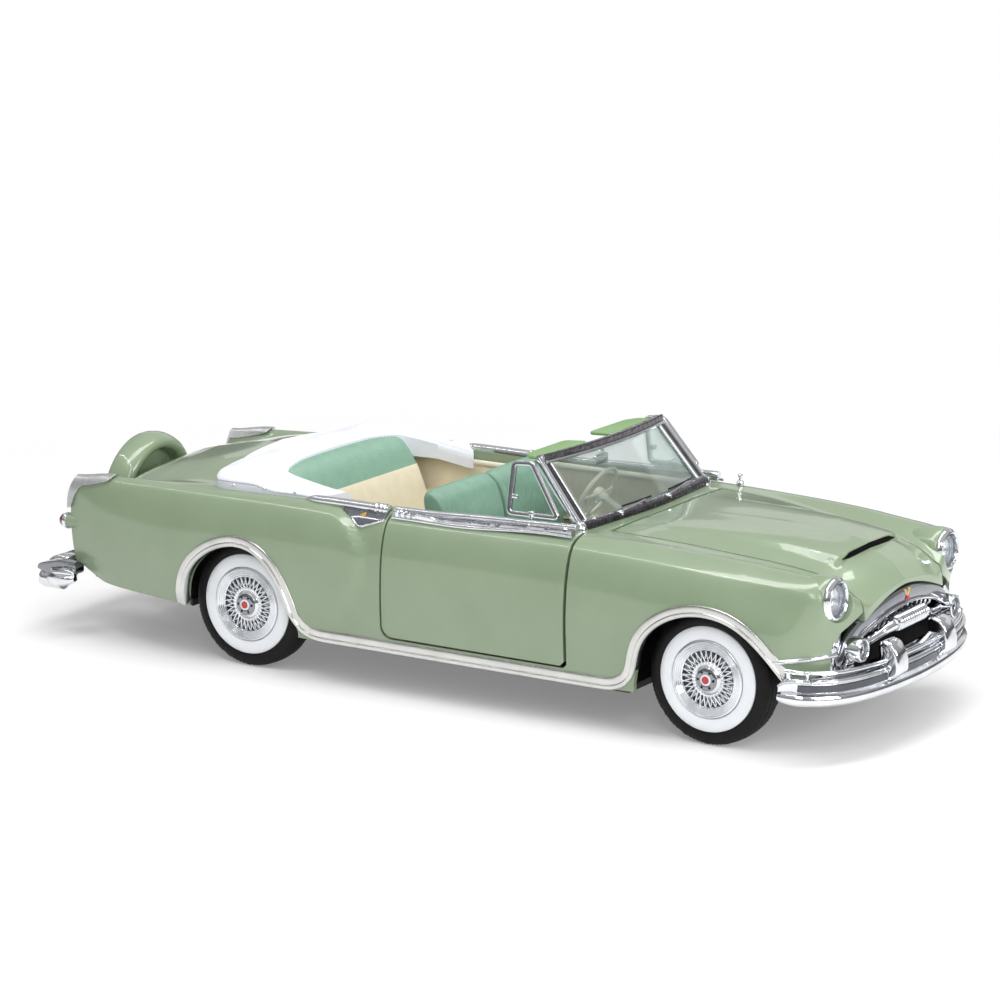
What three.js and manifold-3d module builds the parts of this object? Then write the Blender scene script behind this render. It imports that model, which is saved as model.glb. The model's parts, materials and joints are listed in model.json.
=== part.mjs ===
// A 1:24 diecast convertible, as the assembly of castings, plated trim and plastic pieces that it is made of.
// Millimetres. +X is the car's front, +Y its left side and +Z up. The origin is on the ground under its middle.
import * as THREE from "three";
import { mergeVertices } from "three/addons/utils/BufferGeometryUtils.js";
import Module from "manifold-3d";

const wasm = await Module();
wasm.setup();

// ---------------------------------------------------------------- driving dimensions
const WHEELBASE = 129.1;
const FRONT_AXLE_X = 79.5;
const REAR_AXLE_X = FRONT_AXLE_X - WHEELBASE;
const FRONT_END_X = 117.5; // the bumper guards
const REAR_END_X = -117.5; // the rear bumper blade
const TYRE_R = 15.8;
const TYRE_OUTER_Y = 36.3;
const TYRE_WIDTH = 7.8;
const WHITEWALL_R = 12.4;
const HUB_R = 9.2;
const AXLE_R = 0.8;
const SKIN = 1.5; // the casting's wall
const GAP = 0.3; // between pieces that are fixed to each other
const SHUT_GAP = 0.5; // round the doors and the hood

const DOOR_REAR_X = -7.9;
const DOOR_FRONT_X = 44.2;
const DOOR_BOTTOM_Z = 14;
const DOOR_PIN = { x: 42.5, y: 39.6, r: 0.35 };
const DOOR_FRONT_GAP = 0.8; // the front edge swings past the body
const HOOD_REAR_X = 47.5;
const HOOD_REAR_GAP = 0.8;
const HOOD_PIN = { x: 49, z: 43.6, r: 0.4, halfLength: 28.4 };

const COCKPIT_REAR_X = -55;
const COCKPIT_FRONT_X = 40;
const COCKPIT_HALF = 31.5;
const FLOOR_Z = 13;

const WINDSHIELD = { footX: 41.4, footZ: 44.6, topX: 30, topZ: 59.4, footHalf: 29.4, topHalf: 28 };
const HEADLIGHT = { x: 106.4, y: 28.2, z: 36.6, r: 4.9 };
const POD = { x: 109.5, y: 23.4, z: 24.6, r: 2.7 };
const SPARE = { x: -106.9, z: 30.8, r: 15.2, halfWidth: 4, tilt: THREE.MathUtils.degToRad(-6) };

const KINGPIN = { y: 25.6, r: 0.9 };
const STEERING_ARM = { length: 7, z: 12 };
const SCREWS = [
  { name: "screw_front_right", x: 56, y: -33, seatZ: 9.9, postTop: 30 },
  { name: "screw_front_left", x: 56, y: 33, seatZ: 9.9, postTop: 30 },
  { name: "screw_rear", x: -84, y: 0, seatZ: 13.2, postTop: 43 },
];

// ---------------------------------------------------------------- materials
const finish = (color, roughness, metalness, more = {}) =>
  new THREE.MeshStandardMaterial({ color, roughness, metalness, ...more });
const PAINT = finish(0x93a986, 0.25, 0.1);
const CHROME = finish(0xd8d8dc, 0.12, 1);
const WHITE_VINYL = finish(0xe6e8f2, 0.6, 0);
const GREEN_PLASTIC = finish(0x6fa083, 0.5, 0);
const BEIGE_PLASTIC = finish(0xd6c49c, 0.55, 0);
const CREAM_PLASTIC = finish(0xd9d0b2, 0.45, 0);
const BLACK_PLASTIC = finish(0x18181a, 0.6, 0);
const RUBBER = finish(0x1a1a1c, 0.85, 0);
const WHITE_RUBBER = finish(0xdfe3ea, 0.6, 0);
const RED_LENS = finish(0x9c1020, 0.15, 0, { transparent: true, opacity: 0.8 });
const CLEAR = finish(0xeef4f4, 0.05, 0, { transparent: true, opacity: 0.3 });
const STEEL = finish(0x9a9ca0, 0.3, 1);
const ENGINE_PAINT = finish(0x4c6a5a, 0.5, 0.2);

// ---------------------------------------------------------------- solids
const X = new THREE.Vector3(1, 0, 0);
const Y = new THREE.Vector3(0, 1, 0);
const Z = new THREE.Vector3(0, 0, 1);

function solid(geometry) {
  const bare = geometry.index ? geometry.toNonIndexed() : geometry.clone();
  bare.deleteAttribute("normal");
  bare.deleteAttribute("uv");
  const merged = mergeVertices(bare, 1e-4);
  return new wasm.Manifold(
    new wasm.Mesh({
      numProp: 3,
      vertProperties: new Float32Array(merged.attributes.position.array),
      triVerts: new Uint32Array(merged.index.array),
    }),
  );
}

function box(x0, x1, y0, y1, z0, z1) {
  const made = new THREE.BoxGeometry(x1 - x0, y1 - y0, z1 - z0);
  return solid(made.translate((x0 + x1) / 2, (y0 + y1) / 2, (z0 + z1) / 2));
}

// The same box on both sides of the car.
const boxPair = (x0, x1, y0, y1, z0, z1) =>
  box(x0, x1, y0, y1, z0, z1).add(box(x0, x1, -y1, -y0, z0, z1));

const outline = (points) => new THREE.Shape(points.map(([a, b]) => new THREE.Vector2(a, b)));

// A closed outline, extruded. The outline lies in the XZ, XY or YZ plane.
function prism(shape, low, high, plane) {
  const made = new THREE.ExtrudeGeometry(shape, { depth: high - low, bevelEnabled: false, curveSegments: 8 });
  const turn = new THREE.Matrix4();
  if (plane === "XZ") turn.makeBasis(X, Z, Y.clone().negate()).setPosition(0, high, 0);
  if (plane === "XY") turn.setPosition(0, 0, low);
  if (plane === "YZ") turn.makeBasis(Y, Z, X).setPosition(low, 0, 0);
  return solid(made.applyMatrix4(turn));
}

// A profile of [radius, height] turned round the Y axis, or laid along X or Z.
function lathe(profile, segments, axis = "Y") {
  const made = new THREE.LatheGeometry(profile.map(([r, h]) => new THREE.Vector2(r, h)), segments);
  if (axis === "X") made.rotateZ(-Math.PI / 2);
  if (axis === "Z") made.rotateX(Math.PI / 2);
  return solid(made);
}

const rod = (r, low, high, axis, segments = 12) =>
  lathe([[0, low], [r, low], [r, high], [0, high]], segments, axis);

// A section swept along a smooth route through the points.
function sweep(points, section, steps, closed = false) {
  const path = new THREE.CatmullRomCurve3(points.map((p) => new THREE.Vector3(...p)), closed);
  return solid(new THREE.ExtrudeGeometry(section, { steps, extrudePath: path, bevelEnabled: false }));
}

function roundSection(r, sides = 8) {
  const corner = (i) => [r * Math.cos((2 * Math.PI * i) / sides), r * Math.sin((2 * Math.PI * i) / sides)];
  return outline(Array.from({ length: sides }, (_, i) => corner(i)));
}

const at = (s, x, y, z) => s.translate([x, y, z]);
const mirrored = (s) => s.mirror([0, 1, 0]);
const joined = (list) => list.reduce((a, b) => a.add(b));

const car = new THREE.Group();
function place(name, material, s) {
  const m = s.getMesh();
  const geometry = new THREE.BufferGeometry();
  const positions = new Float32Array(m.numVert * 3);
  for (let i = 0; i < m.numVert; i++)
    positions.set(m.vertProperties.subarray(i * m.numProp, i * m.numProp + 3), i * 3);
  geometry.setAttribute("position", new THREE.BufferAttribute(positions, 3));
  geometry.setIndex(new THREE.BufferAttribute(new Uint32Array(m.triVerts), 1));
  geometry.computeVertexNormals();
  const mesh = new THREE.Mesh(geometry, material);
  mesh.name = name;
  car.add(mesh);
}

// A piece and its mirror image: the right one is given.
function placePair(name, material, right) {
  place(`${name}_right`, material, right);
  place(`${name}_left`, material, mirrored(right));
}

// ---------------------------------------------------------------- the body's surface
// Each line runs the length of the car as [x, y, z], on the left side. A section joins them from the sill to
// the centre line.
const BODY_LINES = {
  sill: [[-106, 34.5, 17], [-95, 36.4, 16.2], [-68, 38.8, 14.6], [-36, 39.6, 10.6], [0, 39.8, 10.6], [62, 39.9, 11],
    [88, 39.6, 15], [99, 38, 18], [104, 34.8, 19], [107.4, 30, 20], [111, 19, 24]],
  waist: [[-106, 35.2, 27], [-95, 37.4, 27], [-68, 39.8, 27], [-36, 40.3, 27], [0, 40.3, 27], [62, 40.7, 27],
    [88, 40.3, 28], [99, 38.8, 28.5], [104, 35.8, 29], [107.4, 31.6, 29], [111, 19.6, 28]],
  upperSide: [[-106, 34.7, 34.5], [-95, 36.6, 35], [-68, 38.7, 36], [-36, 39.4, 36.6], [0, 39.4, 36.4],
    [44, 39.5, 37], [79.5, 39.2, 36.5], [95, 37.7, 35.5], [101, 36.4, 35.2], [104, 35, 35], [107.4, 32.6, 34],
    [111, 19.6, 30]],
  shoulder: [[-106, 34, 39.6], [-95, 34.9, 41], [-68, 36.4, 42.2], [-36, 37.2, 42.2], [-8, 37.2, 41.8],
    [44, 37.2, 42.6], [60, 36.8, 42.4], [79.5, 36.2, 41.8], [95, 35.4, 40.6], [104, 34, 39.2], [107.4, 31.4, 36.6],
    [111, 19, 31.5]],
  crest: [[-106, 32.6, 40.6], [-95, 33.2, 42], [-68, 34, 43.2], [-36, 34, 44.2], [-8, 33.8, 43.8],
    [44, 33.4, 44.4], [60, 32.6, 44.2], [79.5, 31.6, 43.5], [95, 30.4, 42.2], [104, 29.4, 41.2],
    [107.4, 27.2, 38.4], [111, 18, 32.6]],
  valley: [[-106, 30, 34.5], [-95, 30.4, 38.8], [-80, 30.4, 41.6], [-68, 29.6, 43.4], [-36, 29, 44.8], [-8, 29, 44.6],
    [44, 28, 44.6], [60, 27.4, 44], [79.5, 24.6, 42.2], [95, 23, 40.4], [104, 21.6, 38.4], [107.4, 20.6, 36.4],
    [111, 15.6, 33.6]],
  panel: [[-106, 16, 34.6], [-100, 16, 38.6], [-94, 16, 40.9], [-80, 16, 44.4], [-66, 16, 46.8], [-40, 16, 46.4],
    [44, 16, 44.8], [60, 15, 45.1], [79.5, 14, 44.3], [95, 13, 42.6], [102, 12.4, 41.2], [107.4, 11.6, 38.6],
    [111, 9.6, 35]],
  centre: [[-106, 0, 34.6], [-100, 0, 39.2], [-94, 0, 42], [-80, 0, 45.7], [-66, 0, 48], [-40, 0, 47],
    [44, 0, 44.7], [60, 0, 45.2], [79.5, 0, 44.7], [95, 0, 43.3], [102, 0, 42], [107.4, 0, 39.6],
    [111, 0, 36]],
};

const smooth = (t) => {
  const c = Math.min(1, Math.max(0, t));
  return c * c * (3 - 2 * c);
};

// The value of a line at x: a cubic through its knots that never overshoots them.
function along(knots, x, k) {
  const last = knots.length - 1;
  if (x <= knots[0][0]) return knots[0][k];
  if (x >= knots[last][0]) return knots[last][k];
  let i = 0;
  while (knots[i + 1][0] < x) i++;
  const slope = (j) => (knots[j + 1][k] - knots[j][k]) / (knots[j + 1][0] - knots[j][0]);
  const tangent = (j) => {
    if (j === 0) return slope(0);
    if (j === last) return slope(last - 1);
    const [a, b] = [slope(j - 1), slope(j)];
    return a * b <= 0 ? 0 : (2 * a * b) / (a + b);
  };
  const [x0, x1] = [knots[i][0], knots[i + 1][0]];
  const h = x1 - x0;
  const t = (x - x0) / h;
  return (
    knots[i][k] * (2 * t ** 3 - 3 * t ** 2 + 1) + knots[i + 1][k] * (3 * t ** 2 - 2 * t ** 3) +
    h * (tangent(i) * (t ** 3 - 2 * t ** 2 + t) + tangent(i + 1) * (t ** 3 - t ** 2))
  );
}

// How far the side stands out past its lines: the rear fender's rounded front edge, and the tail lamp's pod.
function swelling(x, z) {
  const bend = z > 33 ? 0.074 : 0.02;
  const fenderEdge = -12 - bend * (z - 33) ** 2;
  const fender = 0.8 * smooth((fenderEdge - x) / 4) * smooth((z - 12) / 6) * smooth((x + 100) / 40);
  const pod = 1.3 * smooth((-x - 90) / 14) * Math.exp(-(((z - 27.6) / 2) ** 2));
  return fender + pod;
}

// The tail isn't upright: how far its edge lies ahead of x = -106 at each height.
const TAIL_RAKE = [[15, 4.6], [21, 3], [25.4, -1.6], [30, -2.6], [40, 2], [44, 2.4]];
const TAIL_CENTRE_RAKE = 4.4;
function rake(x, y, z) {
  const share = smooth((-x - 88) / 18);
  if (share === 0) return 0;
  const side = smooth((Math.abs(y) - 22) / 8);
  return share * (side * along(TAIL_RAKE, z, 1) + (1 - side) * TAIL_CENTRE_RAKE);
}

const SECTION_STEPS = 12;
function bodySection(x, grow) {
  const knots = Object.values(BODY_LINES).map(
    (line) => new THREE.Vector3(0, along(line, x, 1), along(line, x, 2)),
  );
  const curve = new THREE.CatmullRomCurve3(knots, false, "centripetal");
  const half = curve.getPoints(SECTION_STEPS).map((p) => [p.y, p.z]);
  return half.map(([y, z], i) => {
    const [a, b] = [half[Math.max(0, i - 1)], half[Math.min(half.length - 1, i + 1)]];
    const length = Math.hypot(b[0] - a[0], b[1] - a[1]);
    const side = smooth((y - 34) / 2) * swelling(x, z);
    const ny = i === half.length - 1 ? 0 : (b[1] - a[1]) / length;
    const nz = i === half.length - 1 ? 1 : -(b[0] - a[0]) / length;
    return [y + side + ny * grow, z + nz * grow - (i === 0 ? Math.max(0, grow) : 0)];
  });
}

// Rings of [y, z] points at each x, closed into one solid with a flat cap at each end.
function loft(xs, ringAt, warp) {
  const rings = xs.map((x) => {
    const half = ringAt(x);
    const other = half.slice(0, -1).reverse().map(([y, z]) => [-y, z]);
    return [...half, ...other].map(([y, z]) => [x + warp(x, y, z), y, z]);
  });
  const size = rings[0].length;
  const positions = rings.flat();
  const index = [];
  for (let r = 0; r < rings.length - 1; r++)
    for (let i = 0; i < size; i++) {
      const [a, b] = [r * size + i, r * size + ((i + 1) % size)];
      index.push(a, b, a + size, b, b + size, a + size);
    }
  [0, rings.length - 1].forEach((r) => {
    const middle = positions.length;
    const centre = [0, 1, 2].map((k) => rings[r].reduce((sum, p) => sum + p[k], 0) / size);
    positions.push(centre);
    for (let i = 0; i < size; i++) {
      const [a, b] = [r * size + i, r * size + ((i + 1) % size)];
      index.push(...(r === 0 ? [middle, b, a] : [middle, a, b]));
    }
  });
  const geometry = new THREE.BufferGeometry();
  geometry.setAttribute("position", new THREE.Float32BufferAttribute(positions.flat(), 3));
  geometry.setIndex(index);
  return solid(geometry);
}

const BODY_XS = [-106, -102, -96, -86, -74, -60, -44, -32, -24, -18, -12, -4, 22, 47, 60, 72, 84, 94, 100, 104, 107,
  109, 111];
const bodyBlock = (grow) => loft(BODY_XS, (x) => bodySection(x, grow), rake);

// The hollow under the casting's skin, open below. It stays out of the fins.
const INNER_XS = [-100, -94, -80, -64, -46, -28, -10, 20, 47, 62, 79, 92, 99, 102.5, 105, 107];
const innerBlock = loft(
  INNER_XS,
  (x) => {
    const [y, z] = [(name) => along(BODY_LINES[name], x, 1), (name) => along(BODY_LINES[name], x, 2)];
    const roof = Math.min(z("crest"), z("valley")) - SKIN - 0.5;
    return [
      [y("sill") - SKIN, z("sill") - 6],
      [y("waist") - SKIN, z("waist")],
      [y("upperSide") - SKIN - 0.1, Math.min(z("upperSide"), roof - 1)],
      [y("shoulder") - SKIN - 1, Math.min(z("shoulder") - 1.7, roof)],
      [y("valley"), roof],
      [y("panel"), z("panel") - SKIN - 0.4],
      [0, z("centre") - SKIN - 0.2],
    ];
  },
  rake,
);

const outerBlock = bodyBlock(0);
const clearBlock = bodyBlock(GAP);
const clearShell = clearBlock.subtract(innerBlock.translate([0, 0, -GAP]));
const skin = outerBlock.subtract(innerBlock);

// ---------------------------------------------------------------- wheel arches and their bright moulding
// Points on the edge of each arch, as [x from the axle, z].
const FRONT_ARCH = [[-17.3, 13], [-15.6, 21.9], [-11.9, 27], [-6.2, 30.3], [0.4, 31.4], [6.9, 30.4], [12.5, 27.4],
  [17, 22.8], [21, 17]];
const REAR_ARCH = [[-16.2, 13], [-15.2, 20.2], [-12.6, 25], [-7.8, 29], [-2, 31.2], [3.4, 31.2], [8.6, 28.8],
  [12.8, 24], [15.4, 18.6], [17.6, 12]];
const MOULDING_WIDTH = 2.7;
const MOULDING_CLEAR = 0.9; // how far other pieces keep off the body's surface where it stands proud
const ROCKER_TOP_Z = 13.6;

const ARCH_STEPS = 13;
// The arch's outline, let out all round by grow and closed below the sill.
function archShape(points, axleX, grow) {
  const curve = new THREE.CatmullRomCurve3(points.map(([x, z]) => new THREE.Vector3(x + axleX, 0, z)));
  const edge = curve.getPoints(ARCH_STEPS).map((p, i) => {
    const t = curve.getTangent(i / ARCH_STEPS);
    return [p.x - t.z * grow, p.z + t.x * grow];
  });
  return outline([[edge[0][0], 0], ...edge, [edge[ARCH_STEPS][0], 0]]);
}
const ARCHES = [[FRONT_ARCH, FRONT_AXLE_X], [REAR_ARCH, REAR_AXLE_X]];
const archCut = (grow) =>
  joined(ARCHES.map(([points, axle]) => prism(archShape(points, axle, grow), -60, 60, "XZ")));
const ROCKER_ENDS = [REAR_AXLE_X + 15, FRONT_AXLE_X - 16];
const rockerBand = box(ROCKER_ENDS[0], ROCKER_ENDS[1], -60, 60, 5, ROCKER_TOP_Z);
const mouldings = bodyBlock(0.5)
  .subtract(innerBlock)
  .intersect(archCut(MOULDING_WIDTH).add(rockerBand))
  .intersect(boxPair(-80, 101, 30, 45, 8, 40));

// ---------------------------------------------------------------- openings cut in the body
const doorShape = (gap) => {
  const frontGap = gap ? DOOR_FRONT_GAP : 0;
  const [rear, front, bottom, r] = [DOOR_REAR_X + gap, DOOR_FRONT_X - frontGap, DOOR_BOTTOM_Z + gap, 3];
  const shape = new THREE.Shape();
  shape.moveTo(rear, 50);
  shape.lineTo(rear, bottom + r);
  shape.quadraticCurveTo(rear, bottom, rear + r, bottom);
  shape.lineTo(front - 1, bottom);
  shape.lineTo(front, bottom + 1);
  shape.lineTo(front, 50);
  return shape;
};
const doorOpening = prism(doorShape(0), -60, 60, "XZ").intersect(boxPair(-20, 60, COCKPIT_HALF, 60, 0, 80));

// The hood's plan: it narrows along the valleys beside the fender crests.
const hoodShape = (gap) => {
  const rear = HOOD_REAR_X + (gap ? HOOD_REAR_GAP : 0);
  const side = [[rear, 26.4], [60, 25.6], [79.5, 23], [95, 21.2], [104, 20.4], [115, 20.2]];
  return outline([
    ...side.map(([x, y]) => [x, y - gap]),
    ...side.reverse().map(([x, y]) => [x, gap - y]),
  ]);
};
const hoodOpening = prism(hoodShape(0), 26, 60, "XY");
const cockpit = prism(
  outline([
    [COCKPIT_REAR_X, -25], [COCKPIT_REAR_X + 6, -COCKPIT_HALF], [COCKPIT_FRONT_X, -COCKPIT_HALF],
    [COCKPIT_FRONT_X, COCKPIT_HALF], [COCKPIT_REAR_X + 6, COCKPIT_HALF], [COCKPIT_REAR_X, 25],
  ]), 24, 80, "XY");
const grilleOpening = box(103, 115, -27, 27, 10, 33.4);
const spareRecess = rod(SPARE.r + 1.2, -SPARE.halfWidth - 3, SPARE.halfWidth + 1.4, "X", 24)
  .translate([SPARE.x, 0, SPARE.z])
  .add(box(-115, SPARE.x + SPARE.halfWidth + 1.4, -SPARE.r, SPARE.r, 5, SPARE.z));
const lampSockets = lathe([[0, -4], [HEADLIGHT.r + GAP, -4], [HEADLIGHT.r + GAP, 8], [0, 8]], 20, "X");
const headlightSockets = joined([-1, 1].map((side) =>
  at(lampSockets, HEADLIGHT.x, side * HEADLIGHT.y, HEADLIGHT.z)));

// A post under the skin that takes a screw from below, with a web to the nearest wall.
const posts = joined(SCREWS.map(({ x, y, seatZ, postTop }) => {
  const foot = seatZ + 1.7;
  const post = at(rod(2.2, foot, postTop, "Z", 12), x, y, 0);
  const outward = Math.sign(y);
  const wall = 38.8 * outward;
  const web = outward
    ? box(x - 0.8, x + 0.8, Math.min(y, wall), Math.max(y, wall), 16, postTop)
    : box(x - 0.8, x + 0.8, -0.8, 0.8, 36, postTop + 3);
  return post.add(web).subtract(at(rod(1, foot - 1, foot + 8, "Z", 12), x, y, 0));
}));
// Blocks with the holes that the hood's and the doors' hinge pins turn in.
const hingeBlocks = boxPair(HOOD_PIN.x - 2, HOOD_PIN.x + 2, 26.4, 30, HOOD_PIN.z - 3, HOOD_PIN.z + 0.8)
  .add(boxPair(DOOR_PIN.x - 1.6, DOOR_PIN.x + 1.6, 37, 39.9, 10.8, DOOR_BOTTOM_Z));
const doorPin = (r, low, high) => joined([-1, 1].map((side) =>
  at(rod(r, low, high, "Z"), DOOR_PIN.x, side * DOOR_PIN.y, 0)));
const hoodPin = (r, grow) => at(rod(r, -HOOD_PIN.halfLength - grow, HOOD_PIN.halfLength + grow, "Y"),
  HOOD_PIN.x, 0, HOOD_PIN.z);
const hingeHoles = hoodPin(HOOD_PIN.r + GAP, GAP).add(doorPin(DOOR_PIN.r + GAP, 11.4, DOOR_BOTTOM_Z + 1));

// The hood scoop: the middle of the hood stands proud and ends in a dark slot.
const SCOOP = { frontX: 101.6, rearX: 62, half: 13, rise: 1.3 };
const scoop = prism(
  outline([[SCOOP.rearX, -6], [SCOOP.frontX, -SCOOP.half], [SCOOP.frontX + 0.6, 0], [SCOOP.frontX, SCOOP.half],
    [SCOOP.rearX, 6]]), 36, 60, "XY",
).intersect(loft(
  [SCOOP.rearX, 75, 88, 96, SCOOP.frontX + 0.6],
  (x) => {
    const rise = SCOOP.rise * smooth((x - SCOOP.rearX) / (SCOOP.frontX - SCOOP.rearX));
    const crown = along(BODY_LINES.centre, x, 2);
    const edge = along(BODY_LINES.panel, x, 2);
    return [
      [15, 38], [15, edge + rise - 0.9], [13, edge + rise - 0.1], [7, crown + rise - 0.3], [0, crown + rise],
    ];
  },
  () => 0,
));
const scoopSlot = box(SCOOP.frontX - 3, SCOOP.frontX + 2, -11.6, 11.6, 41.6, 42.7);

const body = skin
  .add(mouldings)
  .add(posts.intersect(outerBlock))
  .subtract(archCut(0))
  .subtract(doorOpening)
  .subtract(hoodOpening)
  .subtract(cockpit)
  .subtract(grilleOpening)
  .subtract(spareRecess)
  .subtract(headlightSockets)
  .add(hingeBlocks.intersect(outerBlock))
  .subtract(hingeHoles);
place("body_shell", PAINT, largest(body));

// The biggest separate body of a solid: it drops slivers that a cut leaves.
function largest(s) {
  return s.decompose().reduce((a, b) => (a.volume() > b.volume() ? a : b));
}

// ---------------------------------------------------------------- hood, doors and their hinges
// The nose ends in an arched lip over the grille.
const LIP = [[20.6, 10], [20.4, 30], [14, 32.2], [7, 34], [0, 34.8]];
const lipOutline = outline([...LIP.map(([y, z]) => [-y, z]), ...LIP.slice(0, -1).reverse()]);
const hoodShell = outerBlock.add(scoop).subtract(innerBlock).subtract(scoopSlot);
const hoodBarrel = box(
  HOOD_REAR_X + HOOD_REAR_GAP, HOOD_PIN.x + 1.4, -25.4, 25.4, HOOD_PIN.z - 1.1, HOOD_PIN.z + 0.7);
const hood = hoodShell
  .intersect(prism(hoodShape(SHUT_GAP), 29.6, 60, "XY"))
  .subtract(prism(lipOutline, 90, 120, "YZ"))
  .add(hoodBarrel.intersect(bodyBlock(-0.4)))
  .add(hoodPin(HOOD_PIN.r, 0));
place("hood", PAINT, largest(hood));

const doorRight = skin
  .intersect(prism(doorShape(SHUT_GAP), -60, -COCKPIT_HALF - GAP, "XZ"))
  .add(doorPin(DOOR_PIN.r, 11.9, DOOR_BOTTOM_Z + 4).intersect(box(0, 60, -60, 0, 0, 60)));
placePair("door", PAINT, largest(doorRight));
placePair("door_panel", BEIGE_PLASTIC, box(-6.2, 41.4, -35.4, -33.8, 16.4, 38.8));

// Bright belt moulding on top of the door, with its vent window.
const BELT = { rearZ: 44.1, frontZ: 44.7, height: 1.3 };
placePair("door_trim", CHROME, prism(outline([
  [DOOR_REAR_X + 1.1, BELT.rearZ - 1], [DOOR_FRONT_X - 1, BELT.frontZ - 1],
  [DOOR_FRONT_X - 1, BELT.frontZ + BELT.height], [DOOR_REAR_X + 1.1, BELT.rearZ + BELT.height],
]), -35, -32, "XZ").subtract(clearShell));
const ventOuter = [[23.4, 46.4], [38.2, 46.6], [29.2, 58.6], [23.4, 58.2]];
const ventInner = [[24.6, 47.6], [36, 47.8], [28.5, 57.3], [24.6, 57]];
const vent = prism(outline(ventOuter), -33.4, -32, "XZ");
placePair("vent_frame", CHROME, tilted(vent.subtract(prism(outline(ventInner), -40, -30, "XZ"))));
placePair("vent_glass", CLEAR, tilted(prism(shrunk(ventInner, 0.3), -33, -32.4, "XZ")));

// A wiper blade and arm at the foot of the windshield.
function wiper(y) {
  return at(box(0, 0.8, 0, 14, 0, 0.8).rotate([7, 0, 0]), 42.9, y, 45.3);
}

// Leans a side window in at the top.
function tilted(s) {
  return at(at(s, 0, 36.4, -47).rotate([-12, 0, 0]), 0, -36.6, 48);
}

// A convex outline with every corner drawn towards its middle.
function shrunk(points, by) {
  const middle = [0, 1].map((k) => points.reduce((sum, p) => sum + p[k], 0) / points.length);
  return outline(points.map((p) => {
    const d = Math.hypot(p[0] - middle[0], p[1] - middle[1]);
    return [0, 1].map((k) => p[k] + ((middle[k] - p[k]) * by * 1.6) / d);
  }));
}

// ---------------------------------------------------------------- quarter trim, boot cover and spare
const quarterOutline = outline([[-31, 46.6], [-31, 43.4], [-22.6, 42.7], [-12.8, 40.6], [DOOR_REAR_X - 0.5, 42],
  [DOOR_REAR_X - 0.5, 46.6]]);
placePair("quarter_trim", CHROME, largest(bodyBlock(1.3).subtract(clearBlock)
  .intersect(prism(quarterOutline, -45, -33.2, "XZ"))));

const bootHalf = [[-27.4, 35], [-57, 35.4], [-60.6, 33.4], [-63.6, 18], [-64.2, 0]];
const bootInner = [[-48.6, 0], [-48, 18], [-45.6, 24.4], [-42, 26.6], [-27.4, 27.4]];
const across = (points) => points.map(([x, y]) => [x, -y]);
const bootPlan = outline([
  ...bootHalf, ...across(bootHalf.slice(0, -1)).reverse(), ...across(bootInner.slice(1)).reverse(), ...bootInner,
]);
const BOOT_CROWN = [[-68, 0, 47], [-62, 0, 48.8], [-55, 0, 50.2], [-49, 0, 50.2], [-42, 0, 48.8], [-26, 0, 46.2]];
const bootTop = loft(
  [-68, -62, -56, -50, -42, -34, -26],
  (x) => {
    const crown = along(BOOT_CROWN, x, 2);
    const top = Math.max(crown, along(BODY_LINES.centre, x, 2) + 0.8);
    return [
      [39, 36], [39, top - 5], [35.5, top - 4], [33.5, top - 2.2], [29, top - 0.8], [16, top], [0, top + 0.2],
    ];
  },
  () => 0,
);
place("boot_cover", WHITE_VINYL, largest(prism(bootPlan, 36, 60, "XY").intersect(bootTop).subtract(clearBlock)
  .subtract(boxPair(-31.8, -20, 32.6, 40, 40, 50))));

const spareProfile = [[0, -1], [10.6, -1.6], [11.4, -SPARE.halfWidth + 0.3], [13.4, -SPARE.halfWidth],
  [SPARE.r - 0.3, -2], [SPARE.r, 0], [SPARE.r - 0.3, 2], [13.4, SPARE.halfWidth], [11.4, SPARE.halfWidth - 0.3],
  [10.4, 1.6], [4, 2.2], [0, 2.4]];
const spare = at(lathe(spareProfile, 24, "X").rotate([0, THREE.MathUtils.radToDeg(-SPARE.tilt), 0]),
  SPARE.x, 0, SPARE.z);
place("spare_cover", PAINT, spare.subtract(box(-130, -90, -20, 20, 0, 19.3)));

// ---------------------------------------------------------------- windshield
const slope = Math.atan2(WINDSHIELD.footX - WINDSHIELD.topX, WINDSHIELD.topZ - WINDSHIELD.footZ);
const paneHeight = Math.hypot(WINDSHIELD.footX - WINDSHIELD.topX, WINDSHIELD.topZ - WINDSHIELD.footZ);
function pane(inset, low, high) {
  const [foot, top] = [WINDSHIELD.footHalf - inset, WINDSHIELD.topHalf - inset];
  const shape = outline([[-foot, inset], [foot, inset], [top, paneHeight - inset], [-top, paneHeight - inset]]);
  return prism(shape, low, high, "YZ")
    .rotate([0, -THREE.MathUtils.radToDeg(slope), 0])
    .translate([WINDSHIELD.footX, 0, WINDSHIELD.footZ]);
}
place("windshield_frame", CHROME, pane(0, -1.1, 1.1).subtract(pane(1.7, -3, 3))
  .subtract(clearBlock));
place("windshield_glass", CLEAR, pane(2, -0.35, 0.35));
const mirrorStem = box(28.6, 29.4, -0.5, 0.5, 54, 58.2);
place("mirror", CHROME, box(28.4, 29.6, -3, 3, 53.4, 56).add(mirrorStem));
const visor = prism(outline([[22, 59.6], [28.4, 58.6], [28.4, 59.4], [22, 60.4]]), -25.5, -5, "XZ");
placePair("sun_visor", GREEN_PLASTIC, visor);
place("wipers", CHROME, joined([wiper(-16), wiper(6), box(42.9, 43.7, -16, 8, 45.3, 46.1)]));

// A bright cap along the top of each fin and down its rear edge.
const finOutline = outline([[-72, 42.6], [-72, 46], [-114, 46], [-114, 30], [-106.4, 30], [-101.6, 40.4]]);
placePair("fin_trim", CHROME, largest(bodyBlock(1).subtract(clearBlock)
  .intersect(prism(finOutline, -40, -31.6, "XZ"))
  .subtract(box(-120, -107, -36.6, -30, 20, 31.4))));

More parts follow.
